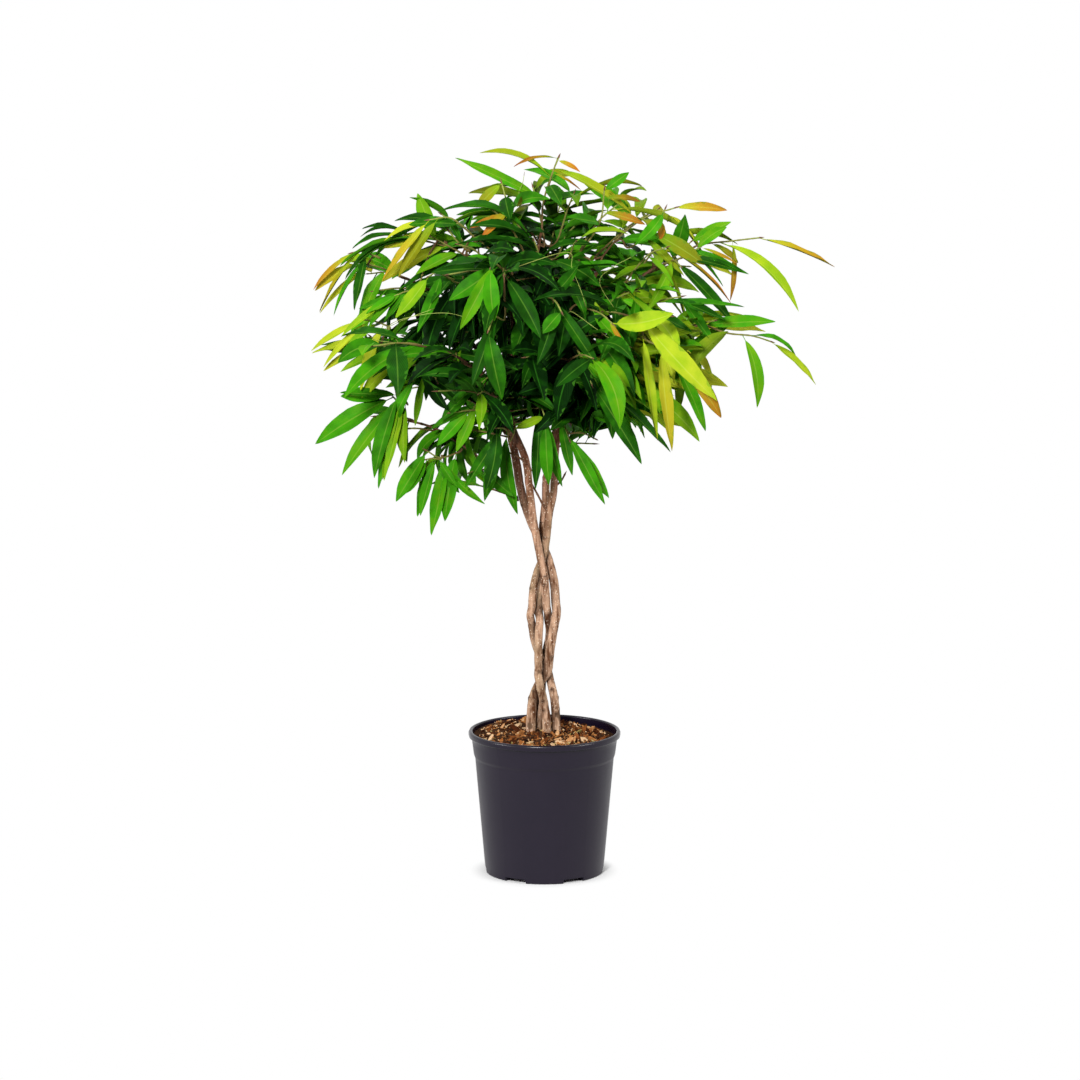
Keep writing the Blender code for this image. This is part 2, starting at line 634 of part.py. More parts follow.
def crosses_itself(points, faces):
    triangles = [(f[0], f[i], f[i + 1]) for f in faces for i in range(1, len(f) - 1)]
    tree = BVHTree.FromPolygons(points, triangles)
    return any(not set(triangles[a]) & set(triangles[b]) for a, b in tree.overlap(tree))


def make_shoot(name, route, leaves):
    made = add_object(name, *shoot_body(route, leaves), "leaf")
    shape = bmesh.new()
    shape.from_mesh(made.data)
    bmesh.ops.recalc_face_normals(shape, faces=shape.faces)
    if shape.calc_volume(signed=True) < 0:
        bmesh.ops.reverse_faces(shape, faces=shape.faces)
    bmesh.ops.triangulate(shape, faces=shape.faces)
    shape.to_mesh(made.data)
    shape.free()


def matched(points, corners, fresh):
    """The corners of one ring in the order, and starting at the one, that twists least onto the next ring."""
    best = None
    for order in (tuple(corners), tuple(reversed(corners))):
        for turn in range(4):
            tried = order[turn:] + order[:turn]
            twist = sum((points[a] - points[b]).length for a, b in zip(tried, fresh))
            if best is None or twist < best[0]:
                best = twist, tried
    return best[1]


# ---- assembly
def build():
    for old in list(bpy.data.objects):
        bpy.data.objects.remove(old)
    stems = stem_routes()
    make_pot()
    make_potting_mix(stems)
    trees = []
    for name, (route, radii) in stems.items():
        points, quads = tube(route, radii, STEM_SIDES)
        add_object(name, points, capped(points, quads, STEM_SIDES), "bark")
        trees.append(tube_tree(route, radii, STEM_SIDES))
    branches = {name: branch_route(stems, spec) for name, spec in BRANCHES.items()}
    for name, route in branches.items():
        thick, thin = BRANCH_RADII
        radii = [thick + (thin - thick) * i / (len(route) - 1) for i in range(len(route))]
        points, quads = tube(route, radii, BRANCH_SIDES)
        add_object(f"{name}_branch", points, capped(points, quads, BRANCH_SIDES), "bark")
        trees.append(tube_tree(route, radii, BRANCH_SIDES))

    rng = random.Random(11)
    shoots = {}
    for name, route in grow_shoots(stems, branches).items():
        leaves = outlier_leaves(route, OUTLIERS[name][3]) if name in OUTLIERS else rule_leaves(route, rng)
        shoots[name] = route, leaves
    twigs = {}
    for name, (route, _) in shoots.items():
        twigs[name] = tube_tree(route, [SHOOT_RADII[0]] * len(route), SHOOT_SIDES)
    for name, (route, leaves) in shoots.items():
        kept = []
        for share, leaf in leaves:
            tree = leaf_tree(leaf)
            if any(tree.overlap(other) for other in [*trees, *twigs.values()]):
                continue
            if not crosses_itself(*shoot_body(route, [*kept, (share, leaf)])):
                kept.append((share, leaf))
                trees.append(tree)
        make_shoot(f"{name}_shoot", route, kept)


build()
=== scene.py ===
"""The looks of the potted braided fig: bark, leaves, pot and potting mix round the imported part, and a studio.

Units are metres, +Z is up and -Y is the front. Stems, branches and shoots follow the same named routes as the
part's own source, and every CAD solid has a finer piece that stands for it.
"""

import math
import random
from collections import namedtuple
from itertools import combinations

import bmesh
import bpy
import numpy as np
from mathutils import Matrix, Vector, noise
from mathutils.kdtree import KDTree


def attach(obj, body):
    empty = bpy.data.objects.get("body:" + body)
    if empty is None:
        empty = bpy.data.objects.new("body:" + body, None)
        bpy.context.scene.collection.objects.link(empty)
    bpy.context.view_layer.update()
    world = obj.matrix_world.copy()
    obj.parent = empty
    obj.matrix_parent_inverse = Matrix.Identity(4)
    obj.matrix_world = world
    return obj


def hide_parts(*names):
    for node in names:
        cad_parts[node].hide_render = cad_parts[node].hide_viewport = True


UP = Vector((0, 0, 1))
GAP = 0.0003  # left between neighbouring solids

# ---- camera: far off and a little above, looking at the middle of the whole plant
VIEW_TARGET, VIEW_RISE, VIEW_DISTANCE = Vector((-0.008, 0, 0.599)), math.radians(10), 8.0
EYE = VIEW_TARGET + Vector((0, -math.cos(VIEW_RISE), math.sin(VIEW_RISE))) * VIEW_DISTANCE
LENS, SENSOR_WIDTH = 151.2, 36  # millimetres

# ---- lamps and floor
LAMPS = (  # name, place, width, power in watts
    ("key", (-0.7, -3.0, 2.0), 0.5, 115),
    ("fill", (2.7, -1.3, 1.6), 1.0, 48),
    ("top", (0.1, 0.0, 3.6), 0.9, 42),
    ("left_edge", (-2.7, -1.1, 1.2), 1.0, 38),
)
LAMP_TARGET = Vector((0.02, 0, 0.75))
SKY_STRENGTH = 0.06  # of the light from all round; what the camera sees of it is white
FLOOR_RADIUS = 0.8

# ---- pot and potting mix
POT_HEIGHT = 0.2565
LIP_RADIUS, LIP_HEIGHT, LIP_WIDTH = 0.1350, 0.0110, 0.0071
BAND_TOP_RADIUS, BAND_FOOT_RADIUS = 0.1298, 0.1257
BODY_TOP_RADIUS, BODY_FOOT_RADIUS = 0.1234, 0.1053
STEP_TOP, STEP_FOOT = 0.2130, 0.2080
WALL = 0.0020
FOOT_HEIGHT, FOOT_WIDTH, CENTRE_FOOT_RADIUS, FEET = 0.0075, 0.0150, 0.0160, 6
NOTCH_HALF_ANGLE = math.radians(11.0)
SOIL_EDGE, SOIL_CROWN = 0.2430, 0.2570  # the mix is heaped round the stems
SOIL_SIDES, SOIL_RINGS = 96, 26
TILT_BEARING, TILT_HEIGHT = math.radians(150), 0.0050  # on this side the whole heap is higher
LEAN_BEARING, LEAN_HEIGHT = math.radians(132), 0.0085  # and here it leans on the wall
SETTLED = 0.0015  # how far its skin is below that shape
LUMPS = ((45, 1.7, 0.0035), (140, 5, 0.0012))  # how many a metre, layer of the noise, height
CHIP_FORMS = 8
CHIP_LIFT = 0.0006  # chips lie this far over the heap
CHIPS = (  # name, how far from the wall, how many a square metre, seed, smallest and largest size
    ("bark_chips", 0.010, 22000.0, 5, 0.22, 0.85),
    ("bark_flakes", 0.021, 3600.0, 12, 0.9, 2.0),
)

# ---- stems: radius at the soil, and where each one runs, in millimetres (across, back, up)
STEMS = {
    "centre_stem": (0.0072, (
        (5, -6, 170), (4, -8, 263), (-2, -9, 312), (-8, -13, 340), (-11, -6, 382), (-10, -4, 440),
        (-8, 12, 497), (-5, 19, 540), (-6, 33, 578), (-2, 25, 630), (2, 15, 671), (4, 17, 710),
        (22, 40, 800), (45, 62, 880), (62, 80, 960), (70, 88, 1040))),
    "left_stem": (0.0081, (
        (-27, -2, 170), (-24, -3, 263), (-20, -1, 311), (-8, 3, 342), (5, -2, 365), (10, -7, 405),
        (17, -5, 452), (19, 2, 500), (14, 8, 536), (4, 18, 568), (-12, 13, 603), (-30, 7, 648),
        (-42, 4, 690), (-50, 6, 740), (-64, 18, 805), (-84, 32, 880), (-104, 42, 980))),
    "rear_stem": (0.0074, (
        (-8, 10, 170), (-8, 8, 262), (-5, 20, 334), (-2, 27, 360), (3, 20, 395), (9, 10, 434),
        (3, -4, 492), (0, -9, 529), (-10, -13, 584), (-20, -10, 637), (-27, -6, 697), (-34, -6, 745),
        (-58, -3, 808), (-62, -8, 880), (-50, -14, 955), (-24, -16, 1050), (-6, 4, 1142))),
    "right_stem": (0.0071, (
        (22, 3, 170), (21, 2, 262), (17, 6, 313), (6, 15, 356), (-8, 12, 387), (-20, 9, 428),
        (-22, -3, 482), (-17, -4, 527), (-3, 4, 567), (3, 1, 600), (8, -1, 645), (16, -3, 685),
        (19, -7, 750), (28, -20, 825), (46, -38, 905), (64, -44, 1005), (98, -16, 1095))),
}
STEM_TAPER = ((0.17, 1.12), (0.27, 1.10), (0.34, 1.0), (0.72, 0.90), (0.90, 0.60), (1.14, 0.30))
STEM_STEP, FINE_STEM_STEP, STEM_SIDES = 0.020, 0.003, 24
KNOTS = 14  # on each stem
EASING_ROUNDS = 120  # for moving stems apart
STUB = 0.007  # what grows on a stem or branch leaves it straight for this far
CREVICE_SHADE = 0.0108  # painted shade reaches this far from where two stems meet

# ---- branches: stem, height where it leaves, bearing (0 is right, 90 is back), reach, height of its end
BRANCH_RINGS, FINE_BRANCH_STEP, BRANCH_SIDES = 7, 0.004, 10
BRANCH_RADII = (0.0036, 0.0018)
BRANCHES = {
    "low_left": ("left_stem", 0.675, 183, 0.205, 0.815),
    "low_front": ("rear_stem", 0.780, 250, 0.120, 0.875),
    "low_right": ("right_stem", 0.790, 334, 0.104, 0.890),
    "low_back": ("centre_stem", 0.750, 80, 0.180, 0.880),
    "low_back_left": ("left_stem", 0.790, 128, 0.200, 0.910),
    "mid_left": ("left_stem", 0.800, 200, 0.190, 0.905),
    "mid_front_left": ("rear_stem", 0.830, 226, 0.190, 0.960),
    "mid_front": ("right_stem", 0.830, 276, 0.150, 0.945),
    "mid_right": ("right_stem", 0.840, 352, 0.225, 0.985),
    "mid_front_right": ("right_stem", 0.880, 305, 0.205, 1.025),
    "mid_back_right": ("centre_stem", 0.820, 38, 0.190, 0.940),
    "mid_back": ("centre_stem", 0.900, 100, 0.170, 1.020),
    "high_left": ("left_stem", 0.900, 172, 0.165, 1.060),
    "high_front": ("rear_stem", 0.950, 262, 0.130, 1.090),
    "high_right": ("right_stem", 0.930, 5, 0.180, 1.100),
    "high_back": ("centre_stem", 0.960, 118, 0.120, 1.100),
    "crest_left": ("rear_stem", 1.020, 172, 0.090, 1.095),
}

# ---- shoots that grow by rule, at the tip and side of a branch and at the tips of two stems
SHOOT_RADII = (0.0016, 0.0011)
SHOOT_LENGTH = (0.085, 0.135)
SHOOT_RISE = 0.30  # of its length, before it droops
SHOOT_STEP, TWIG_STEP, FINE_TWIG_STEP = 0.007, 0.006, 0.005
SIDE_SHARE = 0.55  # how far along its branch a side shoot grows
NO_SIDE_SHOOT = ("low_left", "crest_left")
STEM_BEARINGS = {"centre_stem": 45, "left_stem": 165}
FILL_ON_BRANCH = (0.22, 0.40, 0.62, 0.80, 0.93)  # where the finer shoots grow, as shares of a branch
FILL_ON_STEM = (0.82, 0.87, 0.92, 0.97, 1.01, 1.05, 1.09)  # and as heights on a stem
BUD_TONE = 0.1  # buds are brown again, past the green of the twig

# ---- leaves
SHOOT_LEAVES = 5
SPIRAL = math.radians(137.5)
LEAF_LENGTH = (0.115, 0.165)
LEAF_WIDTH = 0.225  # of its length
FILL_LENGTH, FILL_WIDTH = (0.085, 0.155), (0.16, 0.25)  # the same for leaves that only the looks have
LEAF_BENDS = tuple(math.radians(a) for a in (14, 34, 56, 80))
PETIOLE = 0.09  # the stalk's share of a leaf
FOLD = 0.42  # how steeply the two halves of a blade rise from the midrib
STALK_HALF_WIDTH, STALK_FOOT = 0.028, 0.040  # of a leaf's width, and the foot's
STALK_THICK, TIP_THICK = 0.0050, 0.0022  # of its length; the blade's foot is twice as thick as its tip
LAID_FORWARDS = 1.6  # how far a listed leaf turns to the front
FINE_WIDTH = 0.88  # how wide a dressed leaf is, against the part's own
LEAF_ASPECT = 4.2  # length over width, which a leaf section's height is written for
LEAF_STATIONS = (0.0, 0.045, 0.085, 0.105, 0.14, 0.20, 0.28, 0.38, 0.49, 0.60, 0.70, 0.79, 0.87, 0.93, 0.97)
AROUND = (1, 0.5, 0, -0.5, -1, -0.5, 0, 0.5)  # where the points of a leaf section lie across the blade
FORMS = (  # waves of the side edges, twist in degrees, sideways sweep in widths
    (0.010, 8, 0.10), (0.015, -10, -0.10), (0.034, 20, 0.24), (0.036, -22, -0.24), (0.045, -14, 0.05),
    (0.048, 16, -0.05),
)

# ---- the crown's shape
CENTRE = Vector((0.03, 0.0, 0.95))  # its middle, and how far it reaches from there
CROWN = Vector((0.42, 0.42, 0.32))
OUTERMOST, FILL_OUTERMOST = 1.08, 1.04  # times that reach, for leaves of the part's shoots and of finer ones
CROWN_FLOOR = (  # how low leaves may hang, from left to right
    (-0.45, 0.97), (-0.38, 0.94), (-0.32, 0.92), (-0.25, 0.88), (-0.21, 0.89), (-0.15, 0.88), (-0.11, 0.78),
    (-0.08, 0.77), (-0.06, 0.9), (-0.02, 0.91), (0.01, 0.82), (0.1, 0.82), (0.2, 0.83), (0.25, 0.89),
    (0.28, 0.93), (0.32, 0.98), (0.5, 1.06),
)
FLOOR_SLOPE = 0.13  # and how much higher that is at the front, per metre
DROOP_FROM, DROOP_FULL = 1.15, 0.80  # between these heights leaves hang more and more
LOW_LEFT_TOP, LOWEST_TIP = 0.83, 0.69  # where the lowest branch ends, and how low its leaves hang
OPENINGS = (  # where light shows through the crown from the front: across, up, and how wide, in millimetres
    (275, 1060, 21), (311, 933, 25), (292, 898, 16), (-330, 905, 19), (-362, 898, 14), (-371, 1028, 16),
    (-178, 847, 23), (-212, 836, 14), (103, 785, 14), (-99, 903, 11), (-34, 921, 11), (8, 886, 11),
    (87, 877, 9), (-280, 1056, 11), (-92, 1195, 11), (292, 1109, 11), (251, 1221, 14), (377, 1013, 14),
)
CLEAR_OF_BLADE, CLEAR_IN_VIEW = 0.012, 0.010  # between the middles of two leaves, so that they don't cross

# ---- shoots laid out one by one, in millimetres
# Each row of leaves gives how far along the shoot it grows, its tip, width, youth and blush, and then, where
# they aren't the usual ones, which bend it has and how far it turns to the front. Youth runs from dark green at
# 0 to yellow-green at 1, partly the leaf's age and partly painted light: lower for painted shade inside the
# crown, higher for painted light outside and on the right. Blush is how bronze it is.
OUTLIERS = {  # the part's own: what it grows on and how far along, the rest of its route, its leaves
    "right_whip": ("mid_right", 1.0, ((280, -76, 989), (317, -82, 977), (359, -86, 973), (390, -90, 964)), (
        (0.12, (401, -66, 995), 28, 0.45, 0), (0.66, (368, -100, 849), 26, 0.5, 0, 2, 1.2),
        (0.75, (439, -90, 931), 18, 0.35, 0, 3, 0.6), (1.00, (470, -92, 888), 17, 0.8, 0.1, 1))),
    "right_arch": ("high_right", 1.0, ((268, 0, 1121), (326, -6, 1129), (373, -10, 1135)), (
        (0.45, (339, 30, 1086), 14, 0.6, 0.6), (0.55, (442, -40, 1009), 25, 0.76, 0, 2, 1.0),
        (0.70, (323, -30, 1027), 11, 0.6, 0.9), (1.00, (506, -14, 1084), 17, 0.85, 0.75, 0, 1.0))),
    "right_crest": ("right_stem", 1.0, ((128, 10, 1132), (174, 22, 1166), (226, 18, 1184)), (
        (0.30, (246, 40, 1115), 30, 0.3, 0), (0.60, (178, -60, 1163), 30, 0.6, 0.3),
        (1.00, (319, 16, 1180), 20, 0.9, 0.8))),
    "top_spray": ("rear_stem", 1.0, ((-3, 12, 1190), (8, 14, 1230), (22, 16, 1268)), (
        (0.43, (-156, -6, 1274), 22, 0.5, 0, 0, 4), (0.76, (-114, 20, 1280), 18, 0.66, 0.3, 2, 0.7),
        (0.88, (152, -20, 1178), 24, 0.7, 0.3), (1.00, (62, 8, 1248), 13, 0.8, 1))),
    "upper_left": ("crest_left", 1.0, ((-149, -6, 1110), (-198, -20, 1138)), (
        (0.30, (-224, -60, 1076), 28, 0.5, 0), (0.60, (-284, -40, 1061), 26, 0.7, 0.4),
        (1.00, (-281, -10, 1117), 24, 0.9, 0.2))),
    "left_reach": ("high_left", 1.0, ((-288, 25, 1079), (-327, 0, 1091)), (
        (0.35, (-316, -40, 1000), 26, 0.5, 0), (0.70, (-394, 14, 999), 16, 0.8, 0.3),
        (1.00, (-401, -8, 1042), 19, 0.8, 0.5))),
    "left_tuft": ("mid_left", 1.0, ((-259, -40, 932), (-302, -32, 964)), (
        (0.35, (-319, -50, 860), 28, 0.8, 0), (0.60, (-357, -14, 900), 20, 0.62, 0),
        (0.85, (-386, -40, 905), 16, 0.85, 0.2), (1.00, (-406, -30, 935), 18, 0.85, 0.1))),
    "left_fan": ("low_left", 1.0, ((-256, -20, 844), (-268, -44, 865)), (
        (0.35, (-290, -64, 701), 30, 0.41, 0), (0.60, (-354, -60, 724), 32, 0.46, 0),
        (0.85, (-401, -44, 777), 41, 0.41, 0), (1.00, (-357, -20, 858), 34, 0.36, 0))),
    "lower_left_fan": ("low_left", 0.6, ((-182, -20, 749), (-205, -24, 761)), (
        (0.20, (-175, -34, 638), 34, 0.41, 0), (0.50, (-199, -22, 611), 32, 0.46, 0),
        (0.80, (-224, 4, 640), 30, 0.36, 0), (1.00, (-261, -22, 671), 34, 0.41, 0))),
    "front_right_fan": ("mid_front_right", 1.0, ((169, -214, 987), (198, -224, 972), (227, -226, 953)), (
        (0.15, (293, -240, 881), 48, 0.86, 0), (0.35, (191, -262, 816), 21, 0.84, 0),
        (0.70, (216, -268, 799), 28, 0.86, 0.4), (0.85, (275, -206, 824), 22, 0.45, 0),
        (1.00, (302, -200, 846), 28, 0.8, 0.8))),
}
EXTRA_LEAVES = {"top_spray": 0, "right_arch": 0, "right_whip": 0, "left_tuft": 1}  # between those; else 3
SPRAYS = {  # only in the looks: the route, which is joined to the nearest branch, and its leaves
    "top_twig": (((4, 10, 1214), (15, 8, 1250), (24, 6, 1272)), (
        (1.00, (-54, 4, 1257), 5, 0.6, 1, 2), (0.55, (63, -10, 1218), 9, 0.6, 1),
        (0.20, (29, -60, 1197), 30, 0.25, 0), (0.35, (-6, 20, 1225), 14, 0.3, 0))),
    "crest_spray": (((59, -40, 1107), (95, -50, 1164), (103, -56, 1221)), (
        (0.55, (38, -110, 1181), 34, 0.3, 0), (0.70, (174, -70, 1164), 18, 0.6, 0.95),
        (0.90, (166, -30, 1200), 14, 0.5, 0.9), (1.00, (146, -50, 1253), 20, 0.4, 0))),
    "crest_bud": (((148, -20, 1119), (192, -40, 1156), (208, -46, 1188)), (
        (0.80, (200, -50, 1135), 16, 0.7, 1), (0.35, (241, -70, 1075), 20, 0.55, 0.35),
        (0.50, (277, -60, 1093), 34, 0.5, 0.5), (0.95, (156, -90, 1131), 24, 0.4, 0))),
    "crest_blade": (((198, -10, 1080), (232, -26, 1109), (253, -30, 1129)), (
        (0.40, (243, -44, 1180), 34, 0.28, 0), (1.00, (324, -30, 1165), 26, 0.5, 0),
        (0.80, (348, -60, 1078), 22, 0.35, 0), (0.60, (323, -80, 1028), 9, 0.7, 1))),
    "right_layer": (((146, -80, 997), (196, -100, 1034), (234, -110, 1044)), (
        (0.60, (345, -110, 1026), 18, 0.3, 0), (0.85, (312, -130, 1005), 26, 0.2, 0),
        (1.00, (291, -150, 967), 26, 0.25, 0), (0.40, (253, -170, 989), 26, 0.2, 0))),
    "front_bright": (((67, -190, 1035), (94, -226, 1030), (114, -246, 1015)), (
        (1.00, (218, -262, 1034), 40, 0.78, 0), (0.55, (84, -286, 1051), 34, 0.72, 0),
        (0.30, (143, -262, 973), 24, 0.45, 0), (0.90, (134, -262, 979), 9, 0.7, 1))),
    "front_right_long": (((38, -150, 982), (64, -206, 951), (80, -236, 910)), (
        (1.00, (165, -258, 775), 36, 0.22, 0), (0.60, (154, -258, 870), 24, 0.5, 0),
        (0.30, (113, -250, 860), 22, 0.3, 0), (0.80, (216, -196, 786), 26, 0.18, 0))),
    "front_double": (((20, -70, 843), (32, -120, 827), (42, -150, 803)), (
        (1.00, (111, -158, 700), 34, 0.42, 0), (0.90, (104, -190, 694), 24, 0.36, 0),
        (0.40, (48, -130, 735), 22, 0.3, 0))),
    "front_hanging": (((-14, -60, 843), (-6, -110, 852), (2, -140, 834)), (
        (1.00, (8, -142, 720), 27, 0.35, 0), (0.70, (31, -110, 712), 24, 0.3, 0),
        (0.45, (-16, -120, 709), 24, 0.18, 0), (0.90, (-51, -150, 820), 18, 0.7, 0))),
    "left_hanging": (((-62, -30, 796), (-71, -60, 807), (-83, -90, 812)), (
        (0.20, (-47, -50, 653), 26, 0.3, 0), (1.00, (-102, -110, 706), 34, 0.15, 0),
        (0.70, (-105, -70, 680), 28, 0.3, 0), (0.50, (-139, -60, 702), 24, 0.25, 0))),
    "front_dark": (((-68, -190, 1016), (-85, -246, 1026), (-95, -286, 1008)), (
        (1.00, (-72, -304, 893), 38, 0.22, 0), (0.50, (-123, -286, 914), 28, 0.15, 0))),
    "front_pair": (((-69, -160, 1095), (-84, -220, 1114), (-91, -246, 1110)), (
        (1.00, (-85, -264, 1021), 32, 0.4, 0), (0.70, (-144, -238, 1003), 28, 0.5, 0),
        (0.40, (-163, -214, 1050), 36, 0.3, 0))),
    "front_middle": (((0, -180, 1055), (18, -240, 1052), (28, -270, 1038)), (
        (1.00, (-5, -290, 1003), 28, 0.3, 0), (0.70, (-13, -286, 950), 26, 0.12, 0),
        (0.50, (96, -262, 934), 26, 0.2, 0), (0.30, (59, -240, 1116), 26, 0.2, 0))),
    "left_bright": (((-147, -80, 1064), (-182, -116, 1086), (-199, -134, 1082)), (
        (1.00, (-256, -144, 1011), 33, 0.65, 0), (0.60, (-218, -170, 989), 26, 0.3, 0),
        (0.30, (-195, -160, 1038), 24, 0.2, 0))),
    "left_bronze": (((-118, -50, 1135), (-160, -80, 1176), (-198, -92, 1175)), (
        (1.00, (-280, -100, 1070), 20, 0.85, 0.6), (0.85, (-253, -80, 1074), 24, 0.6, 0.45),
        (0.40, (-235, -60, 1163), 26, 0.25, 0))),
    "top_bronze": (((-40, -60, 1153), (-65, -70, 1206), (-74, -60, 1234)), (
        (1.00, (-118, -62, 1193), 22, 0.6, 0.45), (0.50, (-110, -90, 1141), 18, 0.7, 1),
        (0.35, (-128, -80, 1160), 16, 0.7, 1), (0.75, (-59, -110, 1177), 30, 0.15, 0))),
    "left_tips": (((-286, -20, 1100), (-316, -26, 1113), (-332, -24, 1111)), (
        (1.00, (-403, -22, 1045), 14, 0.75, 0.85), (0.80, (-392, -30, 1007), 13, 0.65, 0.6),
        (0.40, (-367, -40, 1002), 13, 0.4, 0), (0.55, (-330, -60, 1014), 24, 0.2, 0))),
    "left_yellow": (((-267, -40, 981), (-296, -50, 994), (-314, -50, 996)), (
        (1.00, (-407, -40, 940), 17, 0.86, 0.1), (0.80, (-385, -60, 914), 15, 0.86, 0.1),
        (0.30, (-320, -70, 875), 22, 0.9, 0), (0.50, (-345, -76, 949), 18, 0.6, 0))),
    "left_fan_more": (((-238, -36, 844), (-250, -46, 860), (-255, -52, 866)), (
        (0.40, (-240, -60, 747), 26, 0.51, 0), (0.70, (-282, -70, 717), 24, 0.56, 0),
        (1.00, (-297, -72, 721), 36, 0.31, 0), (0.50, (-279, -96, 720), 22, 0.64, 0),
        (0.20, (-243, -86, 750), 20, 0.61, 0), (0.90, (-357, -50, 868), 24, 0.31, 0))),
    "lower_left_more": (((-180, -22, 747), (-195, -26, 749), (-205, -24, 747)), (
        (0.40, (-218, -30, 647), 22, 0.41, 0), (1.00, (-257, -24, 679), 34, 0.41, 0),
        (0.10, (-149, -30, 688), 24, 0.36, 0), (0.05, (-104, -30, 668), 15, 0.46, 0),
        (0.20, (-152, -40, 699), 15, 0.41, 0))),
    "left_dome": (((-130, -20, 1111), (-152, -34, 1132), (-164, -40, 1148)), (
        (1.00, (-278, -60, 1135), 17, 0.9, 0.1, 3, 0.5), (0.70, (-261, -40, 1167), 20, 0.15, 0, 3, 0.5),
        (0.40, (-176, -20, 1179), 14, 0.25, 0, 2, 0.4))),
    "left_dome_low": (((-173, -10, 1121), (-213, -24, 1133), (-239, -30, 1137)), (
        (1.00, (-334, -40, 1119), 12, 0.2, 0, 2, 0.4), (0.90, (-319, 10, 1148), 7, 0.1, 0, 2, 0.3),
        (0.80, (-322, 0, 1135), 8, 0.1, 0, 3, 0.4), (0.65, (-327, -50, 1097), 15, 0.15, 0, 2, 0.5),
        (0.40, (-355, -50, 1090), 9, 0.5, 0, 2, 0.5), (0.25, (-347, -40, 1065), 13, 0.2, 0, 3, 0.6))),
    "crest_long": (((-6, -50, 1090), (-11, -66, 1116), (-18, -76, 1137)), (
        (1.00, (-179, -70, 1188), 13, 0.22, 0, 3, 0.4), (0.85, (-132, -110, 1164), 21, 0.12, 0, 2, 0.6),
        (0.60, (-159, -120, 1133), 20, 0.12, 0, 2, 0.6), (0.30, (88, -110, 1132), 18, 0.15, 0, 2, 0.6))),
    "right_upper": (((192, -40, 1089), (240, -50, 1106), (269, -56, 1124)), (
        (0.90, (316, -40, 1157), 22, 0.5, 0, 2, 0.9), (0.60, (354, -60, 1077), 20, 0.2, 0),
        (1.00, (334, -50, 1094), 8, 0.75, 0.8), (0.80, (310, -50, 1054), 11, 0.35, 0),
        (0.40, (330, -60, 987), 26, 0.2, 0))),
    "gap_high": (((-78, -60, 910), (-95, -70, 901), (-109, -80, 890)), (
        (0.50, (-159, -90, 849), 22, 0.34, 0), (1.00, (-180, -80, 823), 28, 0.28, 0),
        (0.30, (-180, -60, 852), 17, 0.12, 0))),
    "gap_left": (((-182, -40, 928), (-203, -44, 911), (-224, -50, 894)), (
        (0.30, (-207, -50, 854), 18, 0.1, 0), (0.60, (-226, -54, 810), 15, 0.55, 0),
        (1.00, (-277, -50, 783), 26, 0.36, 0), (0.45, (-193, -40, 861), 14, 0.1, 0))),
    "gap_low": (((-92, -50, 856), (-114, -60, 850), (-130, -66, 840)), (
        (1.00, (-187, -70, 778), 28, 0.42, 0), (0.50, (-200, -60, 804), 20, 0.3, 0),
        (0.70, (-154, -76, 768), 24, 0.5, 0))),
    "left_middle": (((-220, -50, 1055), (-244, -60, 1046), (-264, -66, 1038)), (
        (1.00, (-353, -80, 970), 17, 0.72, 0), (0.80, (-309, -84, 1011), 22, 0.42, 0),
        (0.90, (-323, -40, 1014), 18, 0.34, 0), (0.60, (-306, -76, 985), 20, 0.46, 0),
        (0.40, (-278, -70, 995), 22, 0.36, 0), (0.70, (-291, -50, 1020), 20, 0.3, 0))),
}
SNAGS = (  # dead brown twigs low on the stems
    ((20, 0, 696), (29, -4, 705), (34, -6, 714)), ((1, 6, 655), (-13, 10, 680), (-29, 14, 709)),
    ((-24, -10, 726), (-41, -14, 746), (-64, -20, 759)),
)
STRANDS = (  # thin pale twigs in front of the leaves
    ((-266, -170, 1001), (-222, -176, 1019), (-170, -176, 1024), (-131, -170, 1015)),
    ((-296, -150, 978), (-251, -160, 1006), (-196, -166, 1028)),
    ((36, -226, 1134), (46, -236, 1108), (61, -240, 1071), (67, -240, 1052)),
    ((48, -230, 1032), (80, -246, 1011), (114, -256, 988), (141, -260, 978)),
    ((-57, -30, 807), (-64, -32, 786), (-59, -30, 761)), ((-50, -28, 810), (-55, -34, 790), (-66, -34, 770)),
    ((94, -190, 1076), (114, -200, 1104), (145, -204, 1122)),
    ((-43, 0, 1207), (-38, -4, 1230), (-36, -4, 1242)),
)
CREST = (  # more shoots at the crown's top and front, whose leaves follow the rule
    ((-30, -20, 1100), (-60, -30, 1157), (-94, -35, 1189)), ((0, 0, 1121), (-10, 20, 1181), (-20, 40, 1217)),
    ((59, -20, 1100), (89, -10, 1158), (128, 0, 1193)), ((89, 0, 1101), (149, 30, 1152), (198, 50, 1179)),
    ((-60, 30, 1075), (-130, 60, 1136), (-180, 70, 1167)), ((0, 60, 1078), (20, 110, 1150), (30, 150, 1189)),
    ((39, -60, 1076), (48, -110, 1129), (54, -150, 1144)),
    ((-79, -60, 1067), (-117, -100, 1121), (-147, -130, 1136)),
    ((137, -60, 1057), (176, -90, 1112), (209, -110, 1129)), ((19, 20, 1122), (39, 10, 1180), (51, -6, 1212)),
    ((-40, -40, 1049), (-59, -100, 1082), (-69, -150, 1096)),
    ((0, -30, 1069), (9, -90, 1102), (13, -140, 1111)),
    ((-60, -20, 1022), (-128, -60, 1057), (-167, -80, 1074)),
    ((78, -60, 1008), (126, -110, 1042), (155, -140, 1059)),
    ((-8, 40, 1087), (-22, 60, 1124), (-40, 70, 1154)), ((20, 50, 1093), (38, 70, 1130), (62, 84, 1153)),
    ((-131, 30, 1088), (-145, 40, 1126), (-166, 50, 1149)),
    ((168, 50, 1072), (194, 70, 1105), (218, 84, 1121)),
)


# ---- sums and places
def clamped(share):
    return max(0.0, min(1.0, share))


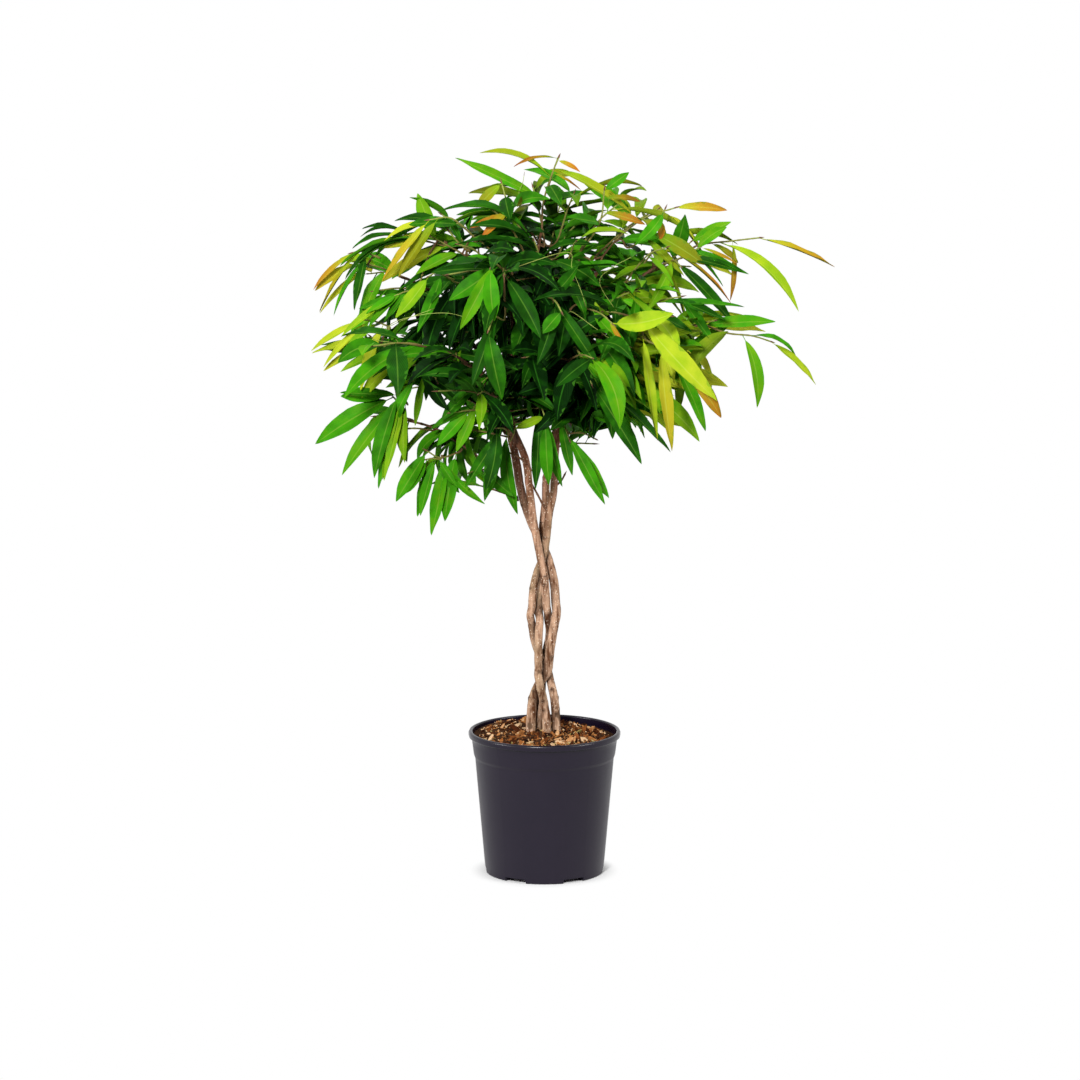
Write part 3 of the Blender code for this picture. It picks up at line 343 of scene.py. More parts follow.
def rising(value, start, end):
    """0 until the start, 1 from the end on, and in proportion between; the end may be the lower one."""
    return clamped((value - start) / (end - start))


def between(pair, share):
    return pair[0] + (pair[1] - pair[0]) * share


def read_off(table, place):
    """The value at a place in a table of (place, value), in proportion between its rows."""
    for (left, a), (right, b) in zip(table, table[1:]):
        if place <= right:
            return a + (b - a) * max(0.0, (place - left) / (right - left))
    return table[-1][1]


def metres(points):
    """Places given in millimetres."""
    return [Vector(p) / 1000 for p in points]


def on_circle(radius, angle, height=0.0):
    return Vector((radius * math.cos(angle), radius * math.sin(angle), height))


def lookup(places):
    """A tree that finds the nearest of these places."""
    tree = KDTree(len(places))
    for k, place in enumerate(places):
        tree.insert(place, k)
    tree.balance()
    return tree


# ---- routes
def smooth_route(points, step):
    """Points a step apart along a Catmull-Rom curve through the given ones, the ends among them."""
    ends = [2 * points[0] - points[1], *points, 2 * points[-1] - points[-2]]
    fine = []
    for a, b, c, d in zip(ends, ends[1:], ends[2:], ends[3:]):
        for i in range(16):
            t = i / 16
            fine.append(0.5 * (2 * b + (c - a) * t + (2 * a - 5 * b + 4 * c - d) * t * t
                               + (3 * b - a - 3 * c + d) * t ** 3))
    fine.append(points[-1].copy())
    return spaced(fine, step)


def spaced(route, step):
    """Evenly spaced points along a route, about a step apart."""
    walked = [0.0]
    for a, b in zip(route, route[1:]):
        walked.append(walked[-1] + (b - a).length)
    count = max(2, round(walked[-1] / step) + 1)
    return [at_distance(route, walked, walked[-1] * i / (count - 1)) for i in range(count)]


def at_distance(route, walked, distance):
    """The point this far along a route, where walked is how far along each of its points is."""
    for i in range(1, len(route)):
        if walked[i] >= distance or i == len(route) - 1:
            span = walked[i] - walked[i - 1]
            share = min(1.0, (distance - walked[i - 1]) / span) if span else 0.0
            return route[i - 1].lerp(route[i], share)


def along(route, share):
    """(point, direction) at a share of the way along a route of evenly spaced points."""
    place = share * (len(route) - 1)
    i = min(int(place), len(route) - 2)
    return route[i].lerp(route[i + 1], place - i), (route[i + 1] - route[i]).normalized()


def at_height(route, height):
    """(point, direction) where a route comes up to a height."""
    for a, b in zip(route, route[1:]):
        if b.z >= height:
            return a.lerp(b, (height - a.z) / (b.z - a.z)), (b - a).normalized()
    return route[-1], (route[-1] - route[-2]).normalized()


def square_to(direction, forward):
    """The part of a direction that is square to forward."""
    return (direction - forward * direction.dot(forward)).normalized()


def squarely(start, out, rest, step):
    """A route that leaves its carrier squarely before it follows the rest."""
    return [start, *smooth_route([start + out * STUB, *rest], step)]


def nearest(place, carriers):
    return min((p for route in carriers for p in route), key=lambda p: (p - place).length)


def joined_route(points, carriers):
    """A route begun at the nearest point of what it can grow on."""
    return smooth_route([nearest(points[0], carriers), *points], TWIG_STEP)


def spray_route(points, carriers):
    """A listed spray's twig, set off from its carrier, and the share of it that is only the way there."""
    near = nearest(points[0], carriers)
    route = smooth_route([near, near.lerp(points[0], 0.5) + UP * 0.01, *points], TWIG_STEP)
    laid = sum((b - a).length for a, b in zip(points, points[1:]))
    return route, 1 - laid / (TWIG_STEP * (len(route) - 1))


# ---- stems, branches and shoots
def stem_radius(base, height):
    """A stem's radius at a height, from the one that STEMS gives it at the soil."""
    return base * read_off(STEM_TAPER, height)


def ease_apart(routes):
    """Moves stems that would run into each other sideways, until each pair just clears."""
    lines = {name: np.array([tuple(p) for p in route]) for name, route in routes.items()}
    for _ in range(EASING_ROUNDS):
        moves = {name: np.zeros_like(line) for name, line in lines.items()}
        for a, b in combinations(lines, 2):
            away = lines[a][:, None, :] - lines[b][None, :, :]
            far = np.linalg.norm(away, axis=2)
            for i, j in enumerate(far.argmin(axis=1)):
                height = lines[a][i][2]
                need = stem_radius(STEMS[a][0], height) + stem_radius(STEMS[b][0], height) + 6 * GAP
                if far[i, j] < need:
                    push = away[i, j] / max(far[i, j], 1e-6) * (need - far[i, j]) / 2
                    moves[a][i, :2] += push[:2]
                    moves[b][j, :2] -= push[:2]
        for name, move in moves.items():
            move[1:-1] = (move[:-2] + 2 * move[1:-1] + move[2:]) / 4
            lines[name] += move
    return {name: [Vector(p) for p in line] for name, line in lines.items()}


def branch_route(stems, spec):
    """A branch as BRANCHES gives it: squarely off its stem, rising fast and then ever less."""
    stem, height, bearing, reach, end_height = spec
    centre, forward = at_height(stems[stem], height)
    heading = on_circle(1, math.radians(bearing))
    out = square_to(heading, forward)
    start = centre + out * (stem_radius(STEMS[stem][0], height) + 2 * GAP)
    rise = end_height - start.z
    rest = [start + heading * (reach * s) + UP * (rise * (1 - (1 - s) ** 1.7)) for s in (0.35, 0.7, 1.0)]
    return squarely(start, out, rest, (reach + rise) / BRANCH_RINGS)


def shoot_start(route, radius, share, heading):
    """(point, direction) where a shoot leaves its carrier, at its tip or on its side."""
    place, forward = along(route, share)
    if share > 0.99:
        return place + forward * 4 * GAP, forward
    out = square_to(heading, forward)
    return place + out * (radius + 4 * GAP), out


def grown_route(start, out, heading, length, droop):
    """A shoot that goes its own way by rule: rising, then drooping at its end."""
    rise = UP * length
    rest = [start + out * 0.008 + heading * (length * s) + rise * (SHOOT_RISE * s - droop * s * s)
            for s in (0.5, 1.0)]
    return squarely(start, out, rest, SHOOT_STEP)


def grow_shoots(stems, branches):
    """name: route of every shoot that the part has, the listed ones first."""
    carriers = {name: (route, BRANCH_RADII[0]) for name, route in branches.items()}
    for name, route in stems.items():
        carriers[name] = route, stem_radius(STEMS[name][0], route[-1].z)
    shoots = {}
    for name, (carrier, share, points, _) in OUTLIERS.items():
        route, radius = carriers[carrier]
        rest = metres(points)
        start, out = shoot_start(route, radius, share, rest[0] - along(route, share)[0])
        shoots[name] = squarely(start, out, rest, SHOOT_STEP)
    rng = random.Random(7)
    taken = {carrier for carrier, share, _, _ in OUTLIERS.values() if share == 1.0}
    bearings = {**{name: spec[2] for name, spec in BRANCHES.items()}, **STEM_BEARINGS}
    for name, bearing in bearings.items():
        route, radius = carriers[name]
        for label, share, turn in (("tip", 1.0, rng.uniform(-12, 12)),
                                   ("side", SIDE_SHARE, rng.choice((-1, 1)) * rng.uniform(48, 70))):
            length, droop = rng.uniform(*SHOOT_LENGTH), rng.uniform(0.15, 0.35)
            bare = taken if label == "tip" else (*NO_SIDE_SHOOT, *STEMS)
            if name in bare:
                continue
            heading = on_circle(1, math.radians(bearing + turn))
            start, out = shoot_start(route, radius, share, heading + UP * 0.3)
            shoots[f"{name}_{label}"] = grown_route(start, out, heading, length, droop)
    return shoots


# ---- leaves
Leaf = namedtuple("Leaf", "seat chord width bend forward left normal")
Tinted = namedtuple("Tinted", "leaf youth blush form")


def leaf_half_width(u):
    """Half the blade's width at a share of its length: broad behind the middle, drawn out at the tip."""
    if not 0 < u < 1:
        return 0.0
    return 0.5 * math.sin(math.pi * u ** 0.92) ** 0.62 * (1 - 0.45 * max(0.0, (u - 0.70) / 0.30) ** 1.4)


def facing_of(place, forwards):
    """Which way a leaf's upper side looks: up and outwards, and more or less to the front."""
    outward = Vector((place.x, place.y, 0.5 * (place.z - 0.9)))
    return (UP + outward * (0.7 / max(outward.length, 0.05)) - Vector((0, forwards, 0))).normalized()


def fitted_leaf(seat, tip, width, bend, roll, forwards=0.3):
    """A leaf from its seat to its tip, turned with its upper side to the light and then rolled."""
    chord = tip - seat
    forward = chord.normalized()
    left = facing_of(seat + chord / 2, forwards).cross(forward).normalized()
    normal = forward.cross(left)
    rolled_left = left * math.cos(roll) + normal * math.sin(roll)
    rolled_normal = normal * math.cos(roll) - left * math.sin(roll)
    return Leaf(seat, chord, width, bend, forward, rolled_left, rolled_normal)


def outerness(place):
    """0 in the middle of the crown, 1 at its outside."""
    return Vector(a / b for a, b in zip(place - CENTRE, CROWN)).length


def form_of(leaf, rng, straight=False):
    """One of the leaf forms that curve up in the middle, or for a straight leaf, down against its bend."""
    lift = leaf.left.z * (-1 if straight else 1)
    return rng.choice([i for i, (_, _, sweep) in enumerate(FORMS) if sweep * lift >= 0])


def aimed(place, direction, length):
    """The tip of a leaf of this length, lifted as far as the crown's floor asks."""
    tip = place + direction * length
    lift = max(0.0, read_off(CROWN_FLOOR, tip.x) - FLOOR_SLOPE * tip.y - tip.z)
    return place + (tip + UP * lift - place).normalized() * length


def hanging(place, direction, length):
    """The tip of a leaf of this length on the lowest branch, which grows under the crown's floor."""
    tip = place + (direction - UP * 0.25).normalized() * length
    return Vector((tip.x, tip.y, max(tip.z, LOWEST_TIP)))


def kept_inside(aim, place, direction, length, shortest, outermost):
    """The tip of a leaf that is made shorter until it stays inside the crown."""
    tip = aim(place, direction, length)
    while length > shortest and outerness(tip) > outermost:
        length *= 0.85
        tip = aim(place, direction, length)
    return tip


def spiral_out(forward, angle):
    """The direction square to a twig at this angle round it."""
    across = forward.cross(UP)
    across = across.normalized() if across.length > 0.05 else Vector((1, 0, 0))
    return across * math.cos(angle) + across.cross(forward) * math.sin(angle)


def rule_leaves(route, rng):
    """(share, leaf) of the leaves that the part has on a shoot."""
    leaves = []
    turn = rng.uniform(0, math.tau)
    for i in range(SHOOT_LEAVES):
        share = 0.22 + 0.78 * i / (SHOOT_LEAVES - 1)
        place, forward = along(route, share)
        sag = rng.uniform(0.15, 0.5) + 0.70 * rising(place.z, DROOP_FROM, DROOP_FULL)
        out = spiral_out(forward, turn + SPIRAL * i)
        direction = forward * rng.uniform(0.5, 0.8) + out * 0.75 - UP * sag
        direction.z = min(direction.z, 0.1)
        direction.normalize()
        length = rng.uniform(*LEAF_LENGTH)
        width = length * LEAF_WIDTH * rng.uniform(0.85, 1.15)
        bend = rng.choice(LEAF_BENDS)
        tip = kept_inside(aimed, place, direction, length, 0.07, OUTERMOST)
        leaves.append((share, fitted_leaf(place, tip, width, bend, rng.uniform(-0.4, 0.4))))
    return leaves


def more_leaves(route, rng, count, spread=0.85):
    """Leaves in between those that the part has, the same way but with their own places and lengths."""
    leaves = []
    turn = rng.uniform(0, math.tau)
    for i in range(count):
        share = 0.10 + 0.90 * (i + 0.5) / count
        place, forward = along(route, share)
        sag = rng.uniform(0.0, 0.5) + 0.75 * rising(place.z, DROOP_FROM, DROOP_FULL)
        out = spiral_out(forward, turn + SPIRAL * i)
        direction = forward * rng.uniform(0.4, 0.8) + out * spread - UP * sag
        direction.normalize()
        direction.z = min(direction.z, 0.15)
        direction.normalize()
        length = rng.uniform(*FILL_LENGTH)
        width = length * rng.uniform(*FILL_WIDTH)
        bend = rng.choice(LEAF_BENDS[:3])
        aim = hanging if place.x < -0.08 and place.z < LOW_LEFT_TOP else aimed
        tip = kept_inside(aim, place, direction, length, 0.06, FILL_OUTERMOST)
        leaves.append((share, fitted_leaf(place, tip, width, bend, rng.uniform(-0.5, 0.5))))
    return leaves


def laid_leaves(route, reach, rows, rolled, rng):
    """The leaves that these rows give, along what is left of the route past its reach."""
    leaves = []
    for share, tip, width, youth, blush, *pose in rows:
        place, _ = along(route, between((reach, 1), share))
        bend = LEAF_BENDS[pose[0] if pose else 1]
        forwards = pose[1] if len(pose) > 1 else LAID_FORWARDS
        leaf = fitted_leaf(place, Vector(tip) / 1000, width * FINE_WIDTH / 1000, bend,
                           rng.uniform(-rolled, rolled), forwards)
        leaves.append(Tinted(leaf, youth, blush, form_of(leaf, rng, not pose)))
    return leaves


def tinted(leaf, share, rng):
    """A leaf with its age and form, and painted light: dark inside the crown as counted from the front, which
    is painted shade, and paler out at the tips and above all on the right, partly younger leaves and partly
    painted light.
    """
    tip = leaf.seat + leaf.chord
    middle = leaf.seat.lerp(tip, 0.6)
    # painted shade: depth towards the front counts less, so leaves in the crown's middle as seen from the front
    # are darker
    out = outerness(Vector((middle.x, 0.35 * middle.y, middle.z)))
    youth = 0.80 * max(0.0, out - 0.55) + 0.10 * share ** 3 * min(1.0, out) - 0.14 + 0.34 * rng.random() ** 2
    # leaves on the right, at the top, and above all low on the right are paler, partly younger and partly
    # painted light
    right = 0.72 * rising(tip.x, 0.06, 0.28) + 0.16 * rising(tip.z, 1.04, 1.16)
    right += 0.20 * rising(tip.x, 0.08, 0.18) * rising(tip.z, 0.98, 0.90)
    youth += right * rng.uniform(0.6, 1.45) + 0.12 * rising(tip.x, -0.12, -0.22)
    # none on the left are the palest, and low on the left none are the darkest, partly as painted light
    if tip.x < 0:
        youth = min(youth, 0.50 + 0.5 * max(0.0, tip.z - 0.82))
    if tip.x < -0.1 and tip.z < 0.88:
        youth = max(youth, rng.uniform(0.34, 0.62))
    # some leaves at the top are bronze, above all at the ends of shoots
    flushed, blush = rng.random(), 0.0
    if tip.z > 1.0 and share > 0.9 and out > 0.9 and flushed < 0.35:
        youth += 0.3
        blush = rng.uniform(0.5, 0.9)
    elif tip.z > 1.0 and tip.x > -0.15 and out > 0.65 and flushed < 0.3:
        blush = rng.uniform(0.2, 0.55)
    return Tinted(leaf, clamped(youth), blush, form_of(leaf, rng))


def blade_places(leaf):
    """Places along the middle of a leaf's blade."""
    lift = 2 * math.tan(leaf.bend / 4) * leaf.chord.length
    return [leaf.seat + leaf.chord * u + leaf.normal * lift * u * (1 - u)
            for u in (0.25, 0.4, 0.55, 0.7, 0.85, 1.0)]


def seen_at(place):
    """Where a place appears from the camera, on the upright plane through the middle of the pot."""
    return EYE + (place - EYE) * (EYE.y / (EYE.y - place.y))


class Shown:
    """The listed leaves, to be seen from the front: other leaves neither cross nor cover them."""

    def __init__(self, leaves):
        self.places = [place for leaf in leaves for place in blade_places(leaf)]
        self.solid = lookup(self.places)
        self.flat = lookup([seen_at(place) for place in self.places])

    def clear(self, leaf):
        """Whether a leaf keeps clear of the shown ones, of their front, and of the crown's openings."""
        for place in blade_places(leaf):
            if self.solid.find(place)[2] < CLEAR_OF_BLADE:
                return False
            seen = seen_at(place)
            _, k, away = self.flat.find(seen)
            if away < CLEAR_IN_VIEW and place.y < self.places[k].y:
                return False
            if any(math.hypot(seen.x - x / 1000, seen.z - z / 1000) < size / 1000 for x, z, size in OPENINGS):
                return False
        return True

    def among(self, leaves, rng):
        """Those of the (share, leaf) that keep clear of the listed ones, with their ages, painted light and
        shade, and forms.
        """
        return [tinted(leaf, share, rng) for share, leaf in leaves if self.clear(leaf)]


# ---- meshes
def mesh_of(name, points, faces):
    mesh = bpy.data.meshes.new(name)
    mesh.from_pydata([tuple(p) for p in points], [], faces)
    return mesh


def added(name, data):
    """A new object in the scene, at the origin."""
    made = bpy.data.objects.new(name, data)
    bpy.context.scene.collection.objects.link(made)
    return made


def store(mesh, name, kind, values, domain="POINT"):
    field = "vector" if kind == "FLOAT_VECTOR" else "value"
    mesh.attributes.new(name, kind, domain).data.foreach_set(field, values)


def smoothed(mesh, sharp):
    """Smooth shading, apart from edges sharper than this many degrees."""
    mesh.shade_smooth()
    mesh.set_sharp_from_angle(angle=math.radians(sharp))


def finished(mesh, material, sharp):
    smoothed(mesh, sharp)
    mesh.materials.append(material)
    return added(mesh.name, mesh)


def turned_faces(rings, sides):
    """Faces of a turned shape: the bottom point, its rings of points, and the top point."""
    faces = []
    for i in range(sides):
        j = (i + 1) % sides
        faces.append((0, 1 + j, 1 + i))
        for ring in range(rings - 1):
            low, high = 1 + ring * sides, 1 + (ring + 1) * sides
            faces.append((low + i, low + j, high + j, high + i))
        top = 1 + (rings - 1) * sides
        faces.append((top + i, top + j, top + sides))
    return faces


class Shape:
    """Points, faces and per-point tones that grow tube by tube, then become one object."""

    def __init__(self):
        self.points, self.faces, self.tone = [], [], []

    def tube(self, route, radii, sides, tones):
        base = len(self.points)
        last = len(route) - 1
        ahead = [(route[min(i + 1, last)] - route[max(i - 1, 0)]).normalized() for i in range(last + 1)]
        side = ahead[0].orthogonal().normalized()
        for place, forward, radius, tone in zip(route, ahead, radii, tones):
            side = square_to(side, forward)
            other = forward.cross(side)
            for i in range(sides):
                a = math.tau * i / sides
                self.points.append(place + (side * math.cos(a) + other * math.sin(a)) * radius)
                self.tone.append(tone)
        for low in range(base, base + last * sides, sides):
            for i in range(sides):
                j = (i + 1) % sides
                self.faces.append((low + i, low + j, low + sides + j, low + sides + i))
        end = base + last * sides
        self.faces.append(tuple(reversed(range(base, base + sides))))
        self.faces.append(tuple(range(end, end + sides)))

    def object(self, name, material, sharp):
        mesh = mesh_of(name, self.points, self.faces)
        store(mesh, "tone", "FLOAT", self.tone)
        return finished(mesh, material, sharp)


# ---- shader nodes
def feed(tree, socket, value):
    """Links a socket to what feeds it, or sets its own value; a colour is given without its alpha."""
    if isinstance(value, bpy.types.NodeSocket):
        tree.links.new(value, socket)
    else:
        socket.default_value = (*value, 1) if socket.type == "RGBA" else value


class Nodes:
    """Short forms for building the nodes of a material or a world."""

    def __init__(self, owner):
        owner.use_nodes = True
        self.tree = owner.node_tree
        self.shader = self.tree.nodes.get("Principled BSDF") or self.tree.nodes["Background"]
        self.end = self.tree.nodes.get("Material Output") or self.tree.nodes["World Output"]

    def add(self, kind, **settings):
        node = self.tree.nodes.new(kind)
        for key, value in settings.items():
            if key in node.inputs:
                feed(self.tree, node.inputs[key], value)
            else:
                setattr(node, key, value)
        return node

    def place(self, scale=(1, 1, 1)):
        coordinates = self.add("ShaderNodeTexCoord").outputs["Object"]
        return self.add("ShaderNodeMapping", Vector=coordinates, Scale=scale).outputs[0]

    def height(self):
        return self.add("ShaderNodeSeparateXYZ", Vector=self.place()).outputs[2]

    def noise(self, scale, detail=3.0, roughness=0.5, stretch=(1, 1, 1)):
        return self.add("ShaderNodeTexNoise", Vector=self.place(stretch), Scale=scale, Detail=detail,
                        Roughness=roughness).outputs["Fac"]

    def attribute(self, name):
        return self.add("ShaderNodeAttribute", attribute_name=name).outputs["Fac"]

    def ramp(self, factor, *stops, smooth=False):
        """Colours or grey values in proportion between the stops, each (position, value)."""
        node = self.add("ShaderNodeValToRGB", Fac=factor)
        node.color_ramp.interpolation = "EASE" if smooth else "LINEAR"
        elements = node.color_ramp.elements
        while len(elements) > 1:
            elements.remove(elements[-1])
        for i, (position, value) in enumerate(stops):
            element = elements[0] if i == 0 else elements.new(position)
            element.position = position
            element.color = (*value, 1) if isinstance(value, tuple) else (value, value, value, 1)
        return node.outputs["Color"]

    def mix(self, factor, a, b):
        node = self.add("ShaderNodeMix", data_type="RGBA")
        for socket, value in ((0, factor), (6, a), (7, b)):  # those that it has for colours
            feed(self.tree, node.inputs[socket], value)
        return node.outputs[2]

    def maths(self, operation, a, b=0.0, c=0.0):
        node = self.add("ShaderNodeMath", operation=operation)
        for socket, value in zip(node.inputs, (a, b, c)):
            feed(self.tree, socket, value)
        return node.outputs[0]

    def varied(self, value, grain, amount):
        """The value, up to half the amount lower or higher with the grain."""
        return self.maths("ADD", value, self.maths("MULTIPLY_ADD", grain, amount, -amount / 2))

    def surface(self, colour, roughness, specular, height, distance, strength=1.0):
        """Sets the colour, roughness, shine and bump of the material."""
        bump = self.add("ShaderNodeBump", Height=height, Distance=distance, Strength=strength)
        for label, value in (("Base Color", colour), ("Roughness", roughness),
                             ("Specular IOR Level", specular), ("Normal", bump.outputs[0])):
            feed(self.tree, self.shader.inputs[label], value)

    def seen(self):
        """1 for what the camera sees, straight, mirrored or through glass, and 0 for light alone."""
        path = self.add("ShaderNodeLightPath").outputs
        direct = self.maths("MAXIMUM", path["Is Camera Ray"], path["Is Glossy Ray"])
        return self.maths("MAXIMUM", direct, path["Is Transmission Ray"])

    def cover(self, share, shader):
        """Lays another shader over the first one, by this share."""
        both = self.add("ShaderNodeMixShader")
        for socket, value in zip(both.inputs, (share, self.shader.outputs[0], shader.outputs[0])):
            feed(self.tree, socket, value)
        feed(self.tree, self.end.inputs["Surface"], both.outputs[0])


# ---- materials
def leaf_material():
    material = bpy.data.materials.new("leaf")
    n = Nodes(material)
    uv = n.add("ShaderNodeUVMap", uv_map="LeafMap").outputs[0]
    across, up, _ = n.add("ShaderNodeSeparateXYZ", Vector=uv).outputs
    side = n.maths("ABSOLUTE", n.maths("SUBTRACT", across, 0.5))
    youth, blush, under = n.attribute("youth"), n.attribute("blush"), n.attribute("under")
    # the blade's colour follows the leaf's age together with the painted light and shade that tinted() sets on
    # each leaf
    blade = n.ramp(
        n.varied(youth, n.noise(38), 0.36),
        (0.0, (0.001, 0.009, 0.001)), (0.2, (0.007, 0.066, 0.002)), (0.42, (0.040, 0.26, 0.003)),
        (0.6, (0.13, 0.31, 0.005)), (0.8, (0.28, 0.42, 0.010)), (1.0, (0.47, 0.52, 0.025)))
    bronze = n.ramp(up, (0.0, (0.28, 0.28, 0.012)), (0.45, (0.45, 0.17, 0.012)), (1.0, (0.40, 0.07, 0.012)))
    bronze = n.mix(n.maths("MULTIPLY", youth, 1.25), (0.06, 0.045, 0.005), bronze)
    blade = n.mix(n.maths("MULTIPLY", blush, n.ramp(up, (0.0, 0.25), (0.5, 0.85), (1.0, 1.0))), blade, bronze)
    veins = n.maths("SINE", n.maths("MULTIPLY", n.maths("MULTIPLY_ADD", side, -0.9, up), 80.0))
    pale = n.mix(youth, (0.04, 0.22, 0.015), (0.50, 0.55, 0.08))
    blade = n.mix(n.maths("MULTIPLY_ADD", veins, 0.028, 0.032), blade, pale)
    rib = n.ramp(side, (0.0, 1.0), (0.015, 0.7), (0.05, 0.0))
    blade = n.mix(n.maths("MULTIPLY", rib, 0.55), blade, pale)
    colour = n.mix(under, blade, n.mix(0.4, blade, (0.06, 0.24, 0.015)))
    n.surface(colour, n.maths("MULTIPLY_ADD", under, 0.20, 0.45), 0.02,
              n.maths("MULTIPLY_ADD", veins, 0.06, rib), 0.0003, 0.25)
    return material


def bark_material():
    """Bark that darkens with height, with pale pores and long streaks; tone marks scars and knots, and painted
    shade where stems meet.
    """
    material = bpy.data.materials.new("bark")
    n = Nodes(material)
    rise = n.ramp(n.height(), (0.25, 0.0), (0.50, 0.10), (0.64, 0.40), (0.74, 1.0))
    streaks = n.noise(95, 4, 0.65, (1, 1, 0.20))
    patches = n.noise(24, 2, 0.5, (1, 1, 0.6))
    colour = n.mix(rise, (0.60, 0.38, 0.25), (0.33, 0.14, 0.085))
    colour = n.mix(n.ramp(patches, (0.50, 0.0), (0.66, 0.55)), colour, (0.33, 0.25, 0.13))
    colour = n.mix(n.ramp(streaks, (0.42, 0.0), (0.52, 0.50), (0.62, 1.0)), colour, (0.11, 0.042, 0.017))
    pores = n.add("ShaderNodeTexVoronoi", Vector=n.place((1, 1, 0.75)), Scale=240.0).outputs["Distance"]
    colour = n.mix(n.ramp(pores, (0.14, 0.85), (0.26, 0.0)), colour, (0.80, 0.64, 0.50))
    blots = n.noise(55, 2, 0.4, (1, 1, 0.8))
    colour = n.mix(n.ramp(blots, (0.66, 0.0), (0.72, 0.8)), colour, (0.10, 0.055, 0.030))
    # tone darkens leaf scars and knots, and paints shade into the crevices where stems meet
    colour = n.mix(n.ramp(n.attribute("tone"), (0.0, 0.0), (1.0, 1.0)), colour, (0.030, 0.012, 0.006))
    n.surface(colour, 0.72, 0.08, n.maths("MULTIPLY_ADD", pores, -0.5, streaks), 0.0010, 0.8)
    return material


def twig_material():
    """A young branch or twig: brown at tone 0, through red-brown, to green at tone 1."""
    material = bpy.data.materials.new("twig")
    n = Nodes(material)
    grain = n.noise(160, 3, 0.6)
    colour = n.ramp(n.varied(n.attribute("tone"), grain, 0.3), (0.0, (0.17, 0.080, 0.050)),
                    (0.4, (0.14, 0.075, 0.035)), (0.65, (0.20, 0.20, 0.045)), (1.0, (0.30, 0.38, 0.08)))
    n.surface(colour, 0.6, 0.08, grain, 0.0004, 0.5)
    return material


def pot_material():
    """Black plastic with a blue haze, glossier on the lip than on the scuffed body."""
    material = bpy.data.materials.new("pot_plastic")
    n = Nodes(material)
    colour = n.mix(n.noise(9, 4, 0.6), (0.0030, 0.0012, 0.0085), (0.0080, 0.0042, 0.0135))
    matt = n.ramp(n.height(), (0.235, 0.36), (0.245, 0.20))
    scuffs = n.noise(70, 4, 0.7, (1, 1, 0.35))
    n.surface(colour, n.maths("MULTIPLY_ADD", scuffs, 0.12, matt), 0.30, n.noise(900, 2), 0.0001, 0.3)
    return material


def chip_material():
    """Bark chips, from dark brown at tone 0 to pale wood, with a few that have gone green."""
    material = bpy.data.materials.new("bark_chip")
    n = Nodes(material)
    grain = n.noise(320, 3, 0.65)
    colour = n.ramp(
        n.varied(n.attribute("tone"), grain, 0.24),
        (0.0, (0.012, 0.003, 0.001)), (0.28, (0.070, 0.017, 0.004)), (0.5, (0.25, 0.080, 0.020)),
        (0.75, (0.50, 0.22, 0.070)), (0.93, (0.78, 0.52, 0.30)), (1.0, (0.30, 0.24, 0.06)))
    n.surface(colour, 0.85, 0.08, grain, 0.0008, 0.8)
    return material


def soil_material():
    material = bpy.data.materials.new("potting_mix")
    n = Nodes(material)
    crumbs = n.noise(260, 5, 0.7)
    colour = n.ramp(crumbs, (0.3, (0.020, 0.009, 0.005)), (0.6, (0.09, 0.038, 0.016)),
                    (0.8, (0.22, 0.10, 0.04)))
    n.surface(colour, 0.95, 0.08, crumbs, 0.003)
    return material


# ---- geometry nodes
class Scatter:
    """A Geometry Nodes tree that sets one of the given forms on each point and paints them."""

    def __init__(self, name, *inputs):
        self.tree = bpy.data.node_groups.new(name, "GeometryNodeTree")
        self.inputs = {}
        shared = ("Geometry", "Geometry"), ("Forms", "Collection"), ("Material", "Material")
        for label, kind in (*shared, *inputs):
            socket = self.tree.interface.new_socket(label, in_out="INPUT", socket_type=f"NodeSocket{kind}")
            self.inputs[label] = socket.identifier
        self.tree.interface.new_socket("Geometry", in_out="OUTPUT", socket_type="NodeSocketGeometry")
        self.given = self.tree.nodes.new("NodeGroupInput").outputs

    def add(self, kind, inputs=None, **settings):
        node = self.tree.nodes.new(kind)
        for key, value in settings.items():
            setattr(node, key, value)
        for key, value in (inputs or {}).items():
            feed(self.tree, node.inputs[key], value)
        return node

    def named(self, name, data_type):
        attribute = self.add("GeometryNodeInputNamedAttribute", {"Name": name}, data_type=data_type)
        return attribute.outputs["Attribute"]

    def finish(self, points, pick, turn, size):
        forms = self.add("GeometryNodeCollectionInfo", {
            "Collection": self.given["Forms"], "Separate Children": True, "Reset Children": True})
        placed = self.add("GeometryNodeInstanceOnPoints", {
            "Points": points, "Instance": forms.outputs[0], "Pick Instance": True, "Instance Index": pick,
            "Rotation": turn, "Scale": size})
        real = self.add("GeometryNodeRealizeInstances", {"Geometry": placed.outputs[0]})
        painted = self.add("GeometryNodeSetMaterial", {
            "Geometry": real.outputs[0], "Material": self.given["Material"]})
        self.tree.links.new(painted.outputs[0], self.tree.nodes.new("NodeGroupOutput").inputs[0])

    def grown(self, name, bed, values):
        """What the tree grows on a mesh, as a plain object with no modifier."""
        carrier = added(bed.name, bed)
        modifier = carrier.modifiers.new("grow", "NODES")
        modifier.node_group = self.tree
        for label, value in values.items():
            modifier[self.inputs[label]] = value
        carrier.update_tag()
        bpy.context.view_layer.update()
        mesh = bpy.data.meshes.new_from_object(carrier.evaluated_get(bpy.context.evaluated_depsgraph_get()))
        bpy.data.objects.remove(carrier)
        mesh.name = name
        mesh.materials.clear()
        mesh.materials.append(values["Material"])
        return added(name, mesh)


